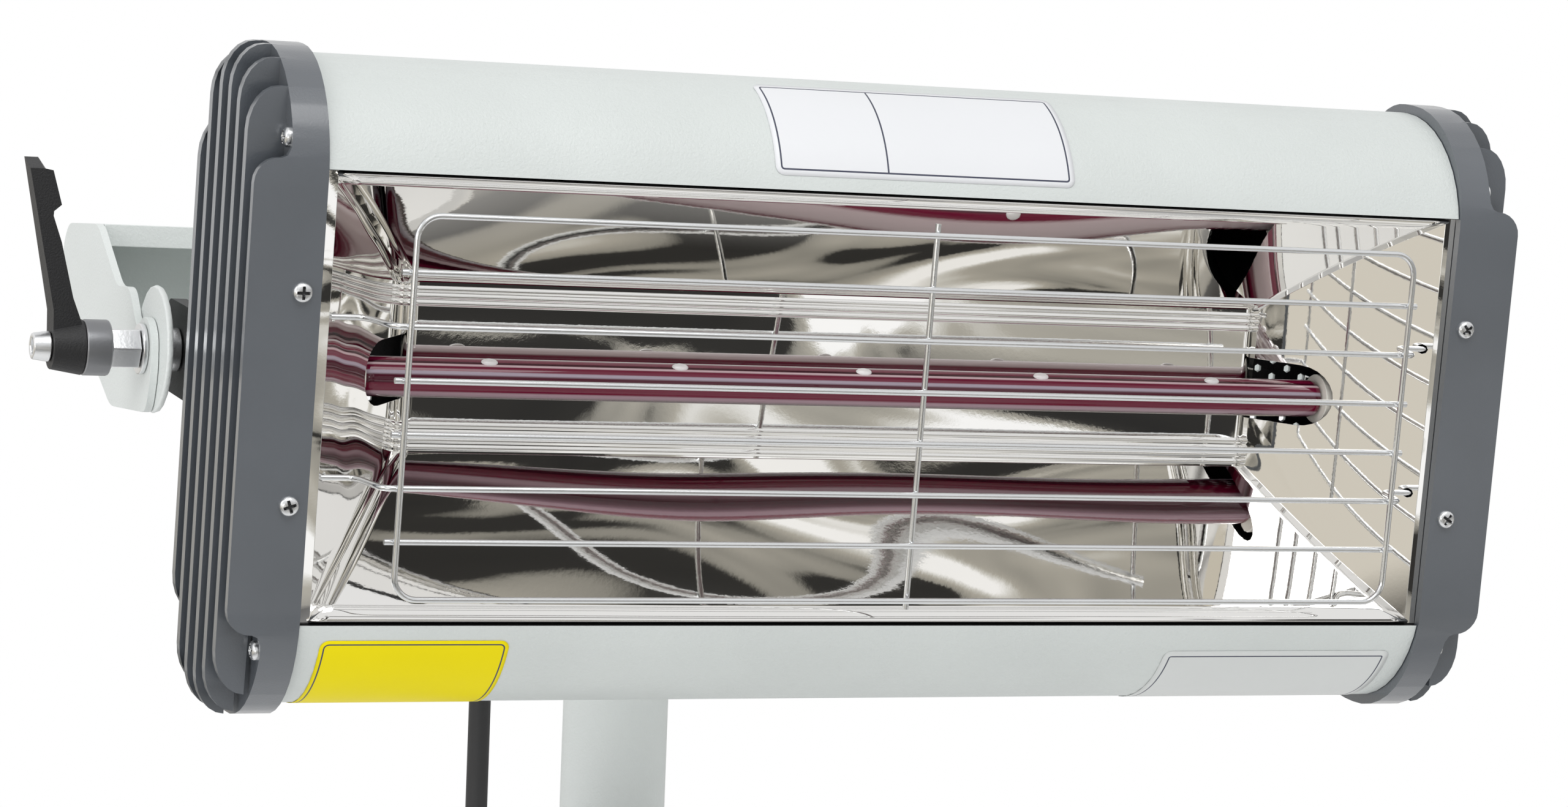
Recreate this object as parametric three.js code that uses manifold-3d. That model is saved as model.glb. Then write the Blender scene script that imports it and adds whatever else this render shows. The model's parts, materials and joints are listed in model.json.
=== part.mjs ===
// Infrared paint curing lamp: a finned lamp head with one quartz tube, tilting in a yoke on a round mast.
// Millimetres, +Z up. The head faces -Y, and the origin is the middle of the mast's lower end.
import * as THREE from 'three';
import Module from 'manifold-3d';

const wasm = await Module();
wasm.setup();

// Fits and facets
const clearance = 0.3;
const overrun = 6;
const weldStep = 0.0005;
const weldShift = 0.37;
const cornersPerFace = 3;
const roundSides = 24;
const smallSides = 12;
const wireSides = 8;
const arcSteps = 5;
const wallSteps = 6;
const cornerSteps = 3;
const bendSteps = 4;

// Quartz tube with its ceramic ends and spring clips
const tubeDiameter = 13.2;
const tubeLength = 353;
const tubeRise = 1.8;
const tubeFromRear = 28;
const tubeEndRoom = 26.5;
const baseDiameter = 17.4;
const baseLength = 17;
const basePinch = 8;
const clipSheet = 1;
const clipWidth = 9;
const clipReach = 24;
const terminalLength = 52;
const terminalHeight = 20;
const terminalDepth = 15;
const terminalRise = 2;
const terminalWays = 3;
const terminalHole = 5;

// Head opening and end caps, which are die cast with seven fins
const openingWidth = tubeLength + tubeEndRoom * 2;
const openingHeight = 144;
const capDepth = 70;
const capShares = { height: 1.5, frontRadius: 0.557, rearRadius: 0.364 };
const capHeight = openingHeight * capShares.height;
const capFrontRadius = capDepth * capShares.frontRadius;
const capRearRadius = capDepth * capShares.rearRadius;
const capBand = 12;
const capWall = 3;
const finCount = 7;
const finThickness = 3.7;
const finReach = 12;
const finCornerWidth = 10;
const finCornerHeight = 14;
const facePlateBorder = 3;
const facePlateCorner = 8;
const facePlateFillet = 7;
const capBossRadius = 4.5;
const capBossLength = 9;
const spigotLength = 7;
const spigotWall = 1.6;

// Housing shell, folded from sheet
const shellInset = 3;
const shellSheet = 1.5;
const shellFrontRadius = capFrontRadius + shellInset;
const shellRearRadius = capRearRadius - shellInset;
const shellHem = 5;
const ventDiameter = 3;
const ventPitch = 6;
const ventRows = 5;
const ventColumns = 4;
const ventFromEnd = 12;

// Reflector trough and its flared end plates
const reflectorSheet = 1.2;
const reflectorRise = 2.9;
const reflectorLipDepth = 2;
const reflectorBackGap = 14;
const reflectorBackHeight = 56.6;
const reflectorBow = 1.2;
const reflectorFlare = 41.3;
const reflectorFlange = 10.5;
const slotHeight = 21.5;

// Wire guard
const wireDiameter = 2;
const guardSideGap = 25;
const guardHeight = 121;
const guardCorner = 7.5;
const guardStandOff = 14;
const guardWires = 6;
const guardPitch = 17;
const guardStub = 3.5;
const weldGap = 0.1;
const footDepth = 6.4;
const footRun = 9;
const footHole = 3.4;

// Screws
const screwHead = 6.4;
const screwHeadHeight = 2.2;
const screwShank = 3.8;
const screwLength = 8;
const screwInset = 6.5;
const screwSpacing = 67.2;
const pocketScrewDepth = 6.6;
const pocketScrewInset = 9.7;
const bracketScrewSpacing = 40;

// Tilt pivot
const restTilt = 6.5;
const pivotFromRear = 33;
const bracketPlate = 5;
const bracketFoot = 5;
const bracketHeight = 31;
const bracketReach = 17;
const bracketCorner = 5;
const studDiameter = 10;
const studCollar = 14.6;
const studHead = 17;
const studHeadHeight = 4;
const discDiameter = 42.4;
const discThickness = 2.2;
const earThickness = 2.5;
const washerDiameter = 17;
const washerThickness = 1.6;
const finToDisc = 0.7;

// Yoke and mast
const earReach = 124;
const earTop = 41;
const earBottom = 21;
const earNose = 10.5;
const barFront = 72;
const barDepth = 26;
const barHeight = 40;
const barSheet = 2;
const barLip = 7.7;
const cradleThickness = 4;
const cradleWidth = 34;
const mastDiameter = 40;
const mastWall = 2;
const mastBelowPivot = 230;
const mastOffset = 15.7;
const plugHeight = 3;
const plugDepth = 4;
const mastBoltDiameter = 6;
const mastBoltHead = 10;
const mastBoltHeadHeight = 4;
const mastBoltSpacing = 22;

// Clamp lever
const boltDiameter = 8;
const hexFlats = 12.6;
const hexLength = 9.6;
const stemDiameter = 9;
const collarDiameter = 18.6;
const collarLength = 8.7;
const hubLength = 10.2;
const hubOuterDiameter = 15;
const hubInnerDiameter = 18.4;
const leverReach = 62;
const leverThickness = 10;
const leverScrewShank = 5;
const leverScrewHead = 10.3;
const leverScrewHeadHeight = 5.8;
const leverScrewSocket = 5;

// Mains lead
const cableDiameter = 7.8;
const glandSide = 96;
const glandDrop = 45;
const glandFlats = 20;
const glandHex = 6;
const glandDome = 9;
const glandTip = 11;
const glandThread = 16;
const reliefLength = 20;
const reliefTip = 9.4;
const coilTurns = 5;
const coilRadius = 30;
const coilTail = 30;
const coilTieSlack = 0.8;
const coilStepsPerTurn = 24;
const coilSides = 6;
const coilPitch = 8.4;
const tieWidth = 12;
const tieThickness = 1.4;
const plugBodyDiameter = 17;
const plugBodyLength = 36;
const plugNeckDiameter = 11;
const plugNeckLength = 12;
const plugRingDiameter = 18.4;

// Worked out from the sizes above
const halfOpening = openingWidth / 2;
const terminalDrop = openingHeight / 2 - terminalRise;
const facePlateHeight = openingHeight + facePlateBorder * 2;
const guardWidth = openingWidth - guardSideGap * 2;
const pivotBack = capDepth + pivotFromRear;
const tubeDepth = capDepth - tubeFromRear;
const reflectorDepth = capDepth - reflectorBackGap;
const capWallFace = halfOpening + capBand;
const finTip = capWallFace + finReach;
const finPitch = (capDepth - finThickness) / (finCount - 1);
const shellRear = capDepth - shellInset;
const shellInnerRear = shellRear - shellSheet;
const discInner = finTip + finToDisc;
const discOuter = discInner + discThickness;
const earInner = discOuter + clearance;
const earOuter = earInner + earThickness;
const washerInner = earOuter + clearance;
const washerOuter = washerInner + washerThickness;
const hexInner = washerOuter + clearance;
const hexOuter = hexInner + hexLength;
const collarInner = hexOuter + clearance;
const collarOuter = collarInner + collarLength;
const hubInner = collarOuter + clearance;
const hubOuter = hubInner + hubLength;
const barRear = barFront + barDepth;
const mastBack = barRear + cradleThickness + clearance + mastDiameter / 2;

// Frames: the stand turns with the mast, the head tilts in it about the pivot
const lamp = new THREE.Group();
const stand = new THREE.Group();
stand.position.set(mastOffset, -mastBack, mastBelowPivot);
lamp.add(stand);
const tilting = new THREE.Group();
tilting.rotation.x = THREE.MathUtils.degToRad(restTilt);
stand.add(tilting);
const head = new THREE.Group();
head.position.y = -pivotBack;
tilting.add(head);

// A closed geometry as a solid, with its faces pointing out; corners closer than the weld step become one
function solid(geometry) {
  const place = geometry.getAttribute('position');
  const corners = geometry.index ? Array.from(geometry.index.array) : Array.from({ length: place.count }, (_, at) => at);
  const known = new Map();
  const points = [];
  const welded = corners.map((at) => {
    const point = new THREE.Vector3().fromBufferAttribute(place, at);
    const key = point.toArray().map((value) => Math.round(value / weldStep + weldShift)).join();
    if (!known.has(key)) known.set(key, points.push(point) - 1);
    return known.get(key);
  });
  const triVerts = [];
  let volume = 0;
  while (welded.length) {
    const face = welded.splice(-cornersPerFace);
    if (new Set(face).size < cornersPerFace) continue;
    triVerts.push(...face);
    const [a, b, c] = face.map((at) => points[at]);
    volume += a.dot(b.clone().cross(c));
  }
  if (volume < 0) triVerts.reverse();
  const vertProperties = new Float32Array(points.flatMap((point) => point.toArray()));
  return new wasm.Manifold(new wasm.Mesh({ numProp: cornersPerFace, vertProperties, triVerts: new Uint32Array(triVerts) }));
}

const joined = (...solids) => solids.reduce((whole, next) => whole.add(next));
const cut = (body, ...tools) => tools.reduce((left, tool) => left.subtract(tool), body);

// One named piece; side -1 is the mirror image of the right-hand form
function piece(name, body, look, parent, side = 1) {
  const mesh = body.getMesh();
  const position = Float32Array.from(mesh.vertProperties, (value, at) => (at % 3 ? value : value * side));
  const index = side < 0 ? Uint32Array.from(mesh.triVerts).reverse() : mesh.triVerts;
  const geometry = new THREE.BufferGeometry();
  geometry.setAttribute('position', new THREE.BufferAttribute(position, 3));
  geometry.setIndex(new THREE.BufferAttribute(index, 1));
  geometry.computeVertexNormals();
  const made = new THREE.Mesh(geometry, new THREE.MeshStandardMaterial({ flatShading: true, ...look }));
  made.name = name;
  parent.add(made);
  return made;
}

// Both sides of the lamp
function pair(name, body, look, parent) {
  piece(`${name}_left`, body, look, parent, -1);
  piece(`${name}_right`, body, look, parent);
}

// Finishes
const greyCast = { color: 0x4a505a, roughness: 0.5, metalness: 0.3 };
const lightPaint = { color: 0xdde3e1, roughness: 0.45, metalness: 0.1 };
const mirror = { color: 0xe6e6e4, roughness: 0.06, metalness: 1 };
const ruby = { color: 0x4a0f16, roughness: 0.1, metalness: 0 };
const ceramic = { color: 0xece8dd, roughness: 0.7, metalness: 0 };
const bright = { color: 0xd2d4d4, roughness: 0.25, metalness: 1 };
const zinc = { color: 0xa9adb0, roughness: 0.35, metalness: 1 };
const blackPaint = { color: 0x1d1e20, roughness: 0.6, metalness: 0.2 };
const blackPlastic = { color: 0x202124, roughness: 0.55, metalness: 0 };
const rubber = { color: 0x18191a, roughness: 0.75, metalness: 0 };

// A shape drawn in Y and Z, drawn out along X
function prismX(shape, from, to, curveSegments = arcSteps) {
  const geometry = new THREE.ExtrudeGeometry(shape, { depth: to - from, bevelEnabled: false, curveSegments });
  const turn = new THREE.Matrix4().makeBasis(
    new THREE.Vector3(0, 1, 0), new THREE.Vector3(0, 0, 1), new THREE.Vector3(1, 0, 0));
  return solid(geometry.applyMatrix4(turn).translate(from, 0, 0));
}

// A shape drawn in X and Z, drawn out along Y
function prismY(shape, from, to, options = {}) {
  const geometry = new THREE.ExtrudeGeometry(
    shape, { depth: to - from, bevelEnabled: false, curveSegments: arcSteps, ...options });
  const turn = new THREE.Matrix4().makeBasis(
    new THREE.Vector3(1, 0, 0), new THREE.Vector3(0, 0, 1), new THREE.Vector3(0, -1, 0));
  return solid(geometry.applyMatrix4(turn).translate(0, to, 0));
}

// A shape drawn in X and Y, drawn out along Z
function prismZ(shape, from, to) {
  const geometry = new THREE.ExtrudeGeometry(shape, { depth: to - from, bevelEnabled: false, curveSegments: arcSteps });
  return solid(geometry.translate(0, 0, from));
}

const quarterTurns = { x: [0, 0, -Math.PI / 2], '-x': [0, 0, Math.PI / 2], y: [0, 0, 0], '-y': [Math.PI, 0, 0],
  z: [Math.PI / 2, 0, 0], '-z': [-Math.PI / 2, 0, 0] };

// A geometry made along +Y, turned to an axis and moved to a place
function aimed(geometry, axis, place) {
  const [x, y, z] = quarterTurns[axis];
  geometry.rotateX(x).rotateY(y).rotateZ(z);
  return solid(geometry.translate(...place));
}

// A round bar from a place, along an axis
function rod(radius, length, axis, place, sides = smallSides, endRadius = radius) {
  const geometry = new THREE.CylinderGeometry(endRadius, radius, length, sides).translate(0, length / 2, 0);
  return aimed(geometry, axis, place);
}

// A six-sided bar with flats above and below
function hexBar(flats, length, axis, place) {
  const across = flats / Math.sqrt(3);
  const geometry = new THREE.CylinderGeometry(across, across, length, 6, 1, false, Math.PI / 6);
  return aimed(geometry.translate(0, length / 2, 0), axis, place);
}

// A turned form: its profile gives the radius and the distance along the axis
function turned(profile, axis, place, sides = smallSides) {
  const points = profile.map(([radius, along]) => new THREE.Vector2(radius, along));
  return aimed(new THREE.LatheGeometry(points, sides), axis, place);
}

function box(low, high) {
  const size = high.map((value, at) => value - low[at]);
  const middle = high.map((value, at) => (value + low[at]) / 2);
  return solid(new THREE.BoxGeometry(...size).translate(...middle));
}

// An outline with one radius at its corners
function rounded(points, radius) {
  const corners = points.map(([x, y]) => new THREE.Vector2(x, y));
  const shape = new THREE.Shape();
  corners.forEach((corner, at) => {
    const before = corners.at(at - 1);
    const after = corners[(at + 1) % corners.length];
    const reach = Math.min(radius, corner.distanceTo(before) / 2, corner.distanceTo(after) / 2);
    const enter = corner.clone().add(before.clone().sub(corner).setLength(reach));
    const leave = corner.clone().add(after.clone().sub(corner).setLength(reach));
    if (at) shape.lineTo(enter.x, enter.y);
    else shape.moveTo(enter.x, enter.y);
    shape.quadraticCurveTo(corner.x, corner.y, leave.x, leave.y);
  });
  shape.closePath();
  return shape;
}

// A folded sheet: the line of one face, and the other face a thickness to its left
function sheet(points, thickness) {
  const line = points.map(([x, y]) => new THREE.Vector2(x, y));
  const normals = line.slice(1).map((end, at) => {
    const run = end.clone().sub(line[at]).normalize();
    return new THREE.Vector2(-run.y, run.x);
  });
  const other = line.map((point, at) => {
    const before = normals[Math.max(at - 1, 0)];
    const after = normals[Math.min(at, normals.length - 1)];
    const mitre = before.clone().add(after).normalize();
    return point.clone().addScaledVector(mitre, thickness / mitre.dot(before));
  });
  return new THREE.Shape([...line, ...other.reverse()]);
}

// The head's side outline: flat front and rear, with a large round in front and a smaller one behind
function sideOutline(front, rear, halfHeight, frontRadius, rearRadius) {
  const shape = new THREE.Shape();
  const frontZ = halfHeight - frontRadius;
  const rearZ = halfHeight - rearRadius;
  shape.absarc(front + frontRadius, frontZ, frontRadius, Math.PI, Math.PI / 2, true);
  shape.absarc(rear - rearRadius, rearZ, rearRadius, Math.PI / 2, 0, true);
  shape.absarc(rear - rearRadius, -rearZ, rearRadius, 0, -Math.PI / 2, true);
  shape.absarc(front + frontRadius, -frontZ, frontRadius, -Math.PI / 2, -Math.PI, true);
  return shape;
}

const capOutline = (inset) => sideOutline(
  inset, capDepth - inset, capHeight / 2 - inset, capFrontRadius - inset, capRearRadius - inset);
const shellOutline = (inset) => sideOutline(
  inset, shellRear - inset, capHeight / 2 - shellInset - inset, shellFrontRadius - inset, shellRearRadius - inset);

// Half the height of the cap's outline at a depth
function capHalfHeight(depth) {
  const frontGap = Math.max(capFrontRadius - depth, 0);
  const rearGap = Math.max(depth - (capDepth - capRearRadius), 0);
  const frontRise = Math.sqrt(Math.max(capFrontRadius ** 2 - frontGap ** 2, 0)) - capFrontRadius;
  const rearRise = Math.sqrt(Math.max(capRearRadius ** 2 - rearGap ** 2, 0)) - capRearRadius;
  return capHeight / 2 + frontRise + rearRise;
}

// One cooling fin, from the cap's side wall outwards, with rounded outer corners
function fin(depth) {
  const half = Math.min(capHalfHeight(depth), capHalfHeight(depth + finThickness));
  const shape = new THREE.Shape();
  shape.moveTo(capWallFace - capWall / 2, -half);
  shape.absellipse(finTip - finCornerWidth, finCornerHeight - half, finCornerWidth, finCornerHeight, -Math.PI / 2, 0);
  shape.absellipse(finTip - finCornerWidth, half - finCornerHeight, finCornerWidth, finCornerHeight, 0, Math.PI / 2);
  shape.lineTo(capWallFace - capWall / 2, half);
  return prismY(shape, depth, depth + finThickness, { curveSegments: cornerSteps });
}

// The flat face plate in front of the fins, which runs into the cap's band with a small fillet
function facePlate() {
  const half = facePlateHeight / 2;
  const shape = new THREE.Shape();
  shape.moveTo(halfOpening + capBand / 2, -half - facePlateFillet);
  shape.lineTo(capWallFace, -half - facePlateFillet);
  shape.quadraticCurveTo(capWallFace, -half, capWallFace + facePlateFillet / 2, -half);
  shape.absarc(finTip - facePlateCorner, facePlateCorner - half, facePlateCorner, -Math.PI / 2, 0);
  shape.absarc(finTip - facePlateCorner, half - facePlateCorner, facePlateCorner, 0, Math.PI / 2);
  shape.lineTo(capWallFace + facePlateFillet / 2, half);
  shape.quadraticCurveTo(capWallFace, half, capWallFace, half + facePlateFillet);
  shape.lineTo(halfOpening + capBand / 2, half + facePlateFillet);
  return prismY(shape, 0, capWall, { curveSegments: cornerSteps }).intersect(prismX(capOutline(0), 0, finTip + overrun));
}

const frontScrewX = halfOpening + screwInset;
const pocketScrewZ = capHalfHeight(pocketScrewDepth) - pocketScrewInset;
const bracketScrewX = capWallFace - capBossRadius - capWall / 2;
const screwHole = (screwShank + clearance * 2) / 2;

function endCap() {
  const inner = halfOpening + clearance;
  const outer = prismX(capOutline(0), inner, capWallFace);
  const hollow = prismX(capOutline(capWall), inner - overrun, capWallFace - capWall);
  const fins = [];
  for (let at = 1; at < finCount; at += 1) fins.push(fin(at * finPitch));
  const rim = shellSheet + clearance;
  const spigot = cut(
    prismX(shellOutline(rim), inner - spigotLength, inner + capWall),
    prismX(shellOutline(rim + spigotWall), inner - spigotLength - overrun, inner + capWall + overrun),
    box([0, -overrun, -openingHeight / 2 - shellSheet - clearance],
      [finTip, capDepth, openingHeight / 2 + shellSheet + clearance]));
  const bridge = cut(
    prismX(capOutline(capWall / 2), inner, inner + capWall),
    prismX(shellOutline(rim + spigotWall), inner - overrun, inner + capWall + overrun),
    box([0, -overrun, -openingHeight / 2 - shellSheet - clearance],
      [finTip, capFrontRadius, openingHeight / 2 + shellSheet + clearance]));
  const bosses = [-1, 1].map((end) => rod(capBossRadius, capBossLength, '-y',
    [bracketScrewX, capDepth - capWall / 2, end * bracketScrewSpacing / 2]));
  const whole = joined(cut(outer, hollow), facePlate(), ...fins, spigot, bridge, ...bosses);
  const holes = [-1, 1].flatMap((end) => [
    rod(screwHole, capWall + overrun * 2, 'y', [frontScrewX, -overrun, end * screwSpacing / 2]),
    rod(screwHole, screwLength + overrun, '-x', [capWallFace + overrun / 2, pocketScrewDepth, end * pocketScrewZ]),
    rod(screwHole, capBossLength + overrun, '-y', [bracketScrewX, capDepth + overrun / 2, end * bracketScrewSpacing / 2]),
  ]);
  return cut(whole, ...holes);
}

// The shell is one bent sheet, open at the window, with a hem above and below it and vents at the rear
function housingShell() {
  const end = halfOpening;
  const wrap = cut(
    prismX(shellOutline(0), -end, end),
    prismX(shellOutline(shellSheet), -end - overrun, end + overrun));
  const window = box([-end - overrun, -overrun, -openingHeight / 2], [end + overrun, capFrontRadius, openingHeight / 2]);
  const intoArc = Math.max(openingHeight / 2 + shellFrontRadius - capHeight / 2 + shellInset, 0);
  const front = shellFrontRadius - Math.sqrt(shellFrontRadius ** 2 - intoArc ** 2);
  const hems = [-1, 1].map((up) => {
    const edge = up * openingHeight / 2;
    const [low, high] = [edge, edge + up * shellSheet].sort((first, second) => first - second);
    return box([-end, front + shellSheet / 2, low], [end, front + shellHem, high]);
  });
  const vents = [];
  for (let column = 0; column < ventColumns; column += 1) {
    for (let row = 0; row < ventRows; row += 1) {
      const x = end - ventFromEnd - spigotLength - column * ventPitch;
      const z = (row - (ventRows - 1) / 2 + (column % 2) / 2) * ventPitch;
      for (const side of [-1, 1]) vents.push(rod(ventDiameter / 2, overrun * 2, 'y', [side * x, shellRear - overrun, z], 6));
    }
  }
  const glandHole = rod(glandThread / 2 + clearance, overrun * 2, 'y', [-glandSide, shellRear - overrun, -glandDrop]);
  return cut(joined(cut(wrap, window), ...hems), ...vents, glandHole);
}

// One wall of the trough, from its lip to the flat back, bowed a little outwards
function troughWall(side) {
  const lip = new THREE.Vector2(reflectorLipDepth, side * (openingHeight / 2 - reflectorSheet - clearance));
  const back = new THREE.Vector2(reflectorDepth, reflectorRise + side * reflectorBackHeight / 2);
  const run = back.clone().sub(lip);
  const outwards = new THREE.Vector2(-run.y, run.x).multiplyScalar(side).normalize();
  const line = [];
  for (let step = 0; step <= wallSteps; step += 1) {
    const share = step / wallSteps;
    const bow = reflectorBow * Math.sin(Math.PI * share);
    line.push(lip.clone().addScaledVector(run, share).addScaledVector(outwards, bow).toArray());
  }
  return line;
}

const troughLine = () => [...troughWall(1), ...troughWall(-1).reverse()];

const flareRun = reflectorDepth - reflectorLipDepth;
const flareEdge = halfOpening - reflectorSheet - clearance;

// The slanted line of an end plate, drawn in X and Y and moved inwards by a gap
function flareLine(gap, rearGap = 0) {
  const slope = reflectorFlare / flareRun;
  return [[flareEdge - gap + slope * overrun, reflectorLipDepth - overrun],
    [flareEdge - gap - reflectorFlare - slope * rearGap, reflectorLipDepth + flareRun + rearGap]];
}

function reflectorTrough() {
  const trough = prismX(sheet(troughLine(), reflectorSheet), -halfOpening, halfOpening);
  const [front, rear] = flareLine(reflectorSheet + clearance, overrun);
  const ends = [front, rear, [-rear[0], rear[1]], [-front[0], front[1]]];
  const inside = prismZ(new THREE.Shape(ends.map(([x, y]) => new THREE.Vector2(x, y))), -openingHeight, openingHeight);
  return trough.intersect(inside);
}

const flangeFace = capWall + clearance;

// An end plate leans inwards towards the back, carries the tube in a slot and has a front flange for the screws
function reflectorEnd() {
  const halfFront = openingHeight / 2 - clearance;
  const rearDepth = shellInnerRear - clearance;
  const halfRear = reflectorBackHeight / 2 + overrun;
  const outline = new THREE.Shape([[flangeFace, halfFront], [reflectorDepth / 2, halfFront - overrun],
    [rearDepth, reflectorRise + halfRear], [rearDepth, reflectorRise - halfRear],
    [reflectorDepth / 2, overrun - halfFront], [flangeFace, -halfFront],
  ].map(([y, z]) => new THREE.Vector2(y, z)));
  const slope = reflectorFlare / flareRun;
  const leanAt = (depth) => flareEdge - slope * (depth - reflectorLipDepth);
  const band = new THREE.Shape([[leanAt(0), 0], [leanAt(capDepth), capDepth],
    [leanAt(capDepth) - reflectorSheet, capDepth], [leanAt(0) - reflectorSheet, 0],
  ].map(([x, y]) => new THREE.Vector2(x, y)));
  const plate = prismZ(band, -openingHeight, openingHeight).intersect(prismX(outline, 0, halfOpening));
  const flange = box([leanAt(flangeFace) - reflectorSheet, flangeFace, -halfFront],
    [leanAt(flangeFace) + reflectorFlange, flangeFace + reflectorSheet, halfFront]);
  const slotRadius = slotHeight / 2;
  const slot = joined(
    rod(slotRadius, halfOpening, 'x', [0, tubeDepth, reflectorRise], roundSides),
    box([0, tubeDepth, reflectorRise - slotRadius], [halfOpening, capDepth, reflectorRise + slotRadius]));
  const tools = [-1, 1].flatMap((end) => [
    rod(footHole / 2, halfOpening, 'x', [overrun, footDepth, end * guardPitch * 3 / 2], wireSides),
    rod(screwHole, overrun * 2, 'y', [frontScrewX, flangeFace - overrun, end * screwSpacing / 2]),
  ]);
  return cut(joined(plate, flange), slot, ...tools);
}

function lampBase() {
  const start = tubeLength / 2 + clearance;
  const round = rod(baseDiameter / 2, baseLength, 'x', [start, tubeDepth, 0], roundSides);
  const flats = [-1, 1].map((up) => box([start + baseLength / 3, 0, up > 0 ? basePinch / 2 : -baseDiameter],
    [start + baseLength + overrun, capDepth, up > 0 ? baseDiameter : -basePinch / 2]));
  return cut(round, ...flats).translate(0, 0, tubeRise);
}

// A spring clip that holds the flat of a ceramic end, standing on the rear of the shell
function lampClip() {
  const rear = shellInnerRear - clearance;
  const half = basePinch / 2 + clearance;
  const front = rear - clipReach;
  const line = [[front - clipSheet, half + clipSheet * 2], [front + clipSheet, half], [rear - clipSheet, half],
    [rear - clipSheet, -half], [front + clipSheet, -half], [front - clipSheet, -half - clipSheet * 2]];
  const start = tubeLength / 2 + clearance + baseLength / 2;
  return prismX(sheet(line, clipSheet), start, start + clipWidth).translate(0, 0, tubeRise);
}

function terminalBlock() {
  const rear = shellInnerRear - clearance;
  const left = -glandSide - terminalLength / 2;
  const block = box([left, rear - terminalDepth, -terminalDrop - terminalHeight / 2],
    [left + terminalLength, rear, -terminalDrop + terminalHeight / 2]);
  const pitch = terminalLength / terminalWays;
  const cuts = [];
  for (let way = 0; way < terminalWays; way += 1) {
    const x = left + (way + 1 / 2) * pitch;
    cuts.push(rod(terminalHole / 2, terminalHeight + overrun * 2, 'z', [x, rear - terminalDepth / 2,
      -terminalDrop - terminalHeight / 2 - overrun], wireSides));
    cuts.push(rod(terminalHole / 3, terminalDepth / 2, 'y', [x, rear - terminalDepth - clearance, -terminalDrop
      + terminalHeight / 4], wireSides));
  }
  return cut(block, ...cuts);
}

// The guard's outer wire is a rounded loop, here with an eight-sided section
function guardRing() {
  const flat = wireDiameter * (Math.SQRT2 - 1);
  const bevel = (wireDiameter - flat) / 2;
  const loop = (inset) => {
    const [x, z] = [guardWidth / 2 - inset, guardHeight / 2 - inset];
    return rounded([[x, z], [-x, z], [-x, -z], [x, -z]], guardCorner - inset);
  };
  const ring = loop(-flat / 2);
  ring.holes.push(loop(flat / 2));
  const options = { bevelEnabled: true, bevelThickness: bevel, bevelSize: bevel, bevelSegments: 1, curveSegments: 4 };
  const front = -guardStandOff - flat / 2;
  return prismY(ring, front, front + flat, options);
}

const wireBack = -guardStandOff + wireDiameter + weldGap;
const wireHeight = (at) => ((guardWires - 1) / 2 - at) * guardPitch;

function plainWire(height) {
  const half = guardWidth / 2 + guardStub;
  return rod(wireDiameter / 2, half * 2, 'x', [-half, wireBack, height], wireSides);
}

// Two of the wires end in feet, which step back and plug into the end plates
function footedWire(height) {
  const bendStart = guardWidth / 2 + wireDiameter;
  const middle = rod(wireDiameter / 2, bendStart * 2, 'x', [-bendStart, wireBack, height], wireSides);
  const footStart = bendStart + footRun;
  const route = [[bendStart - wireDiameter, wireBack], [bendStart, wireBack],
    [bendStart + footRun * 0.25, wireBack + wireDiameter / 2], [footStart - footRun * 0.25, footDepth - wireDiameter / 2],
    [footStart, footDepth], [halfOpening + wireDiameter, footDepth]];
  const section = new THREE.Shape().absarc(0, 0, wireDiameter / 2, 0, Math.PI * 2);
  const feet = [-1, 1].map((side) => {
    const path = new THREE.CatmullRomCurve3(route.map(([x, y]) => new THREE.Vector3(side * x, y, height)));
    return solid(new THREE.ExtrudeGeometry(section, { steps: 14, extrudePath: path, curveSegments: wireSides / 2 }));
  });
  return joined(middle, ...feet);
}

function guardUpright() {
  const half = guardHeight / 2 + guardStub;
  const depth = wireBack + wireDiameter + weldGap;
  return rod(wireDiameter / 2, half * 2, 'z', [0, depth, -half], wireSides);
}

// A pan-head screw, its head's seat at the place and its shank along the axis
function panScrew(axis, place, length = screwLength) {
  const profile = [[0, -screwHeadHeight], [screwHead * 0.3, -screwHeadHeight], [screwHead * 0.44, -screwHeadHeight * 0.7],
    [screwHead / 2, -screwHeadHeight * 0.25], [screwHead / 2, 0], [screwShank / 2, 0], [screwShank / 2, length],
    [0, length]];
  return turned(profile, axis, place);
}

// The cast bracket that hangs the head on its pivot: a foot on the rear of the cap and a plate back to the axis
function pivotBracket() {
  const seat = capDepth + clearance;
  const plateOuter = finTip - overrun;
  const half = bracketHeight / 2;
  const end = pivotBack + bracketReach;
  const plateShape = rounded([[seat, -half], [end, -half], [end, half], [seat, half]], bracketCorner);
  const plate = prismX(plateShape, plateOuter - bracketPlate, plateOuter);
  const footHalf = bracketScrewSpacing / 2 + screwHead;
  const foot = prismX(new THREE.Shape([[seat, footHalf], [seat + bracketFoot, footHalf], [seat + bracketFoot, -footHalf],
    [seat, -footHalf]].map(([y, z]) => new THREE.Vector2(y, z))), halfOpening, plateOuter);
  const rib = prismZ(new THREE.Shape([[plateOuter - bracketPlate / 2, seat], [plateOuter - bracketPlate / 2, pivotBack
    - bracketReach], [halfOpening + bracketPlate, seat]].map(([x, y]) => new THREE.Vector2(x, y))),
  -bracketPlate / 2, bracketPlate / 2);
  const holes = [-1, 1].map((end) => rod(screwHole, bracketFoot * 2 + overrun, 'y',
    [bracketScrewX, seat - overrun, end * bracketScrewSpacing / 2]));
  const bore = rod(studDiameter / 2 + clearance, bracketPlate + overrun * 2, 'x',
    [plateOuter - bracketPlate - overrun, pivotBack, 0], roundSides);
  return cut(joined(plate, foot, rib), bore, ...holes);
}

const plateOuter = finTip - overrun;
const boltBore = boltDiameter / 2 + clearance;

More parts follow.
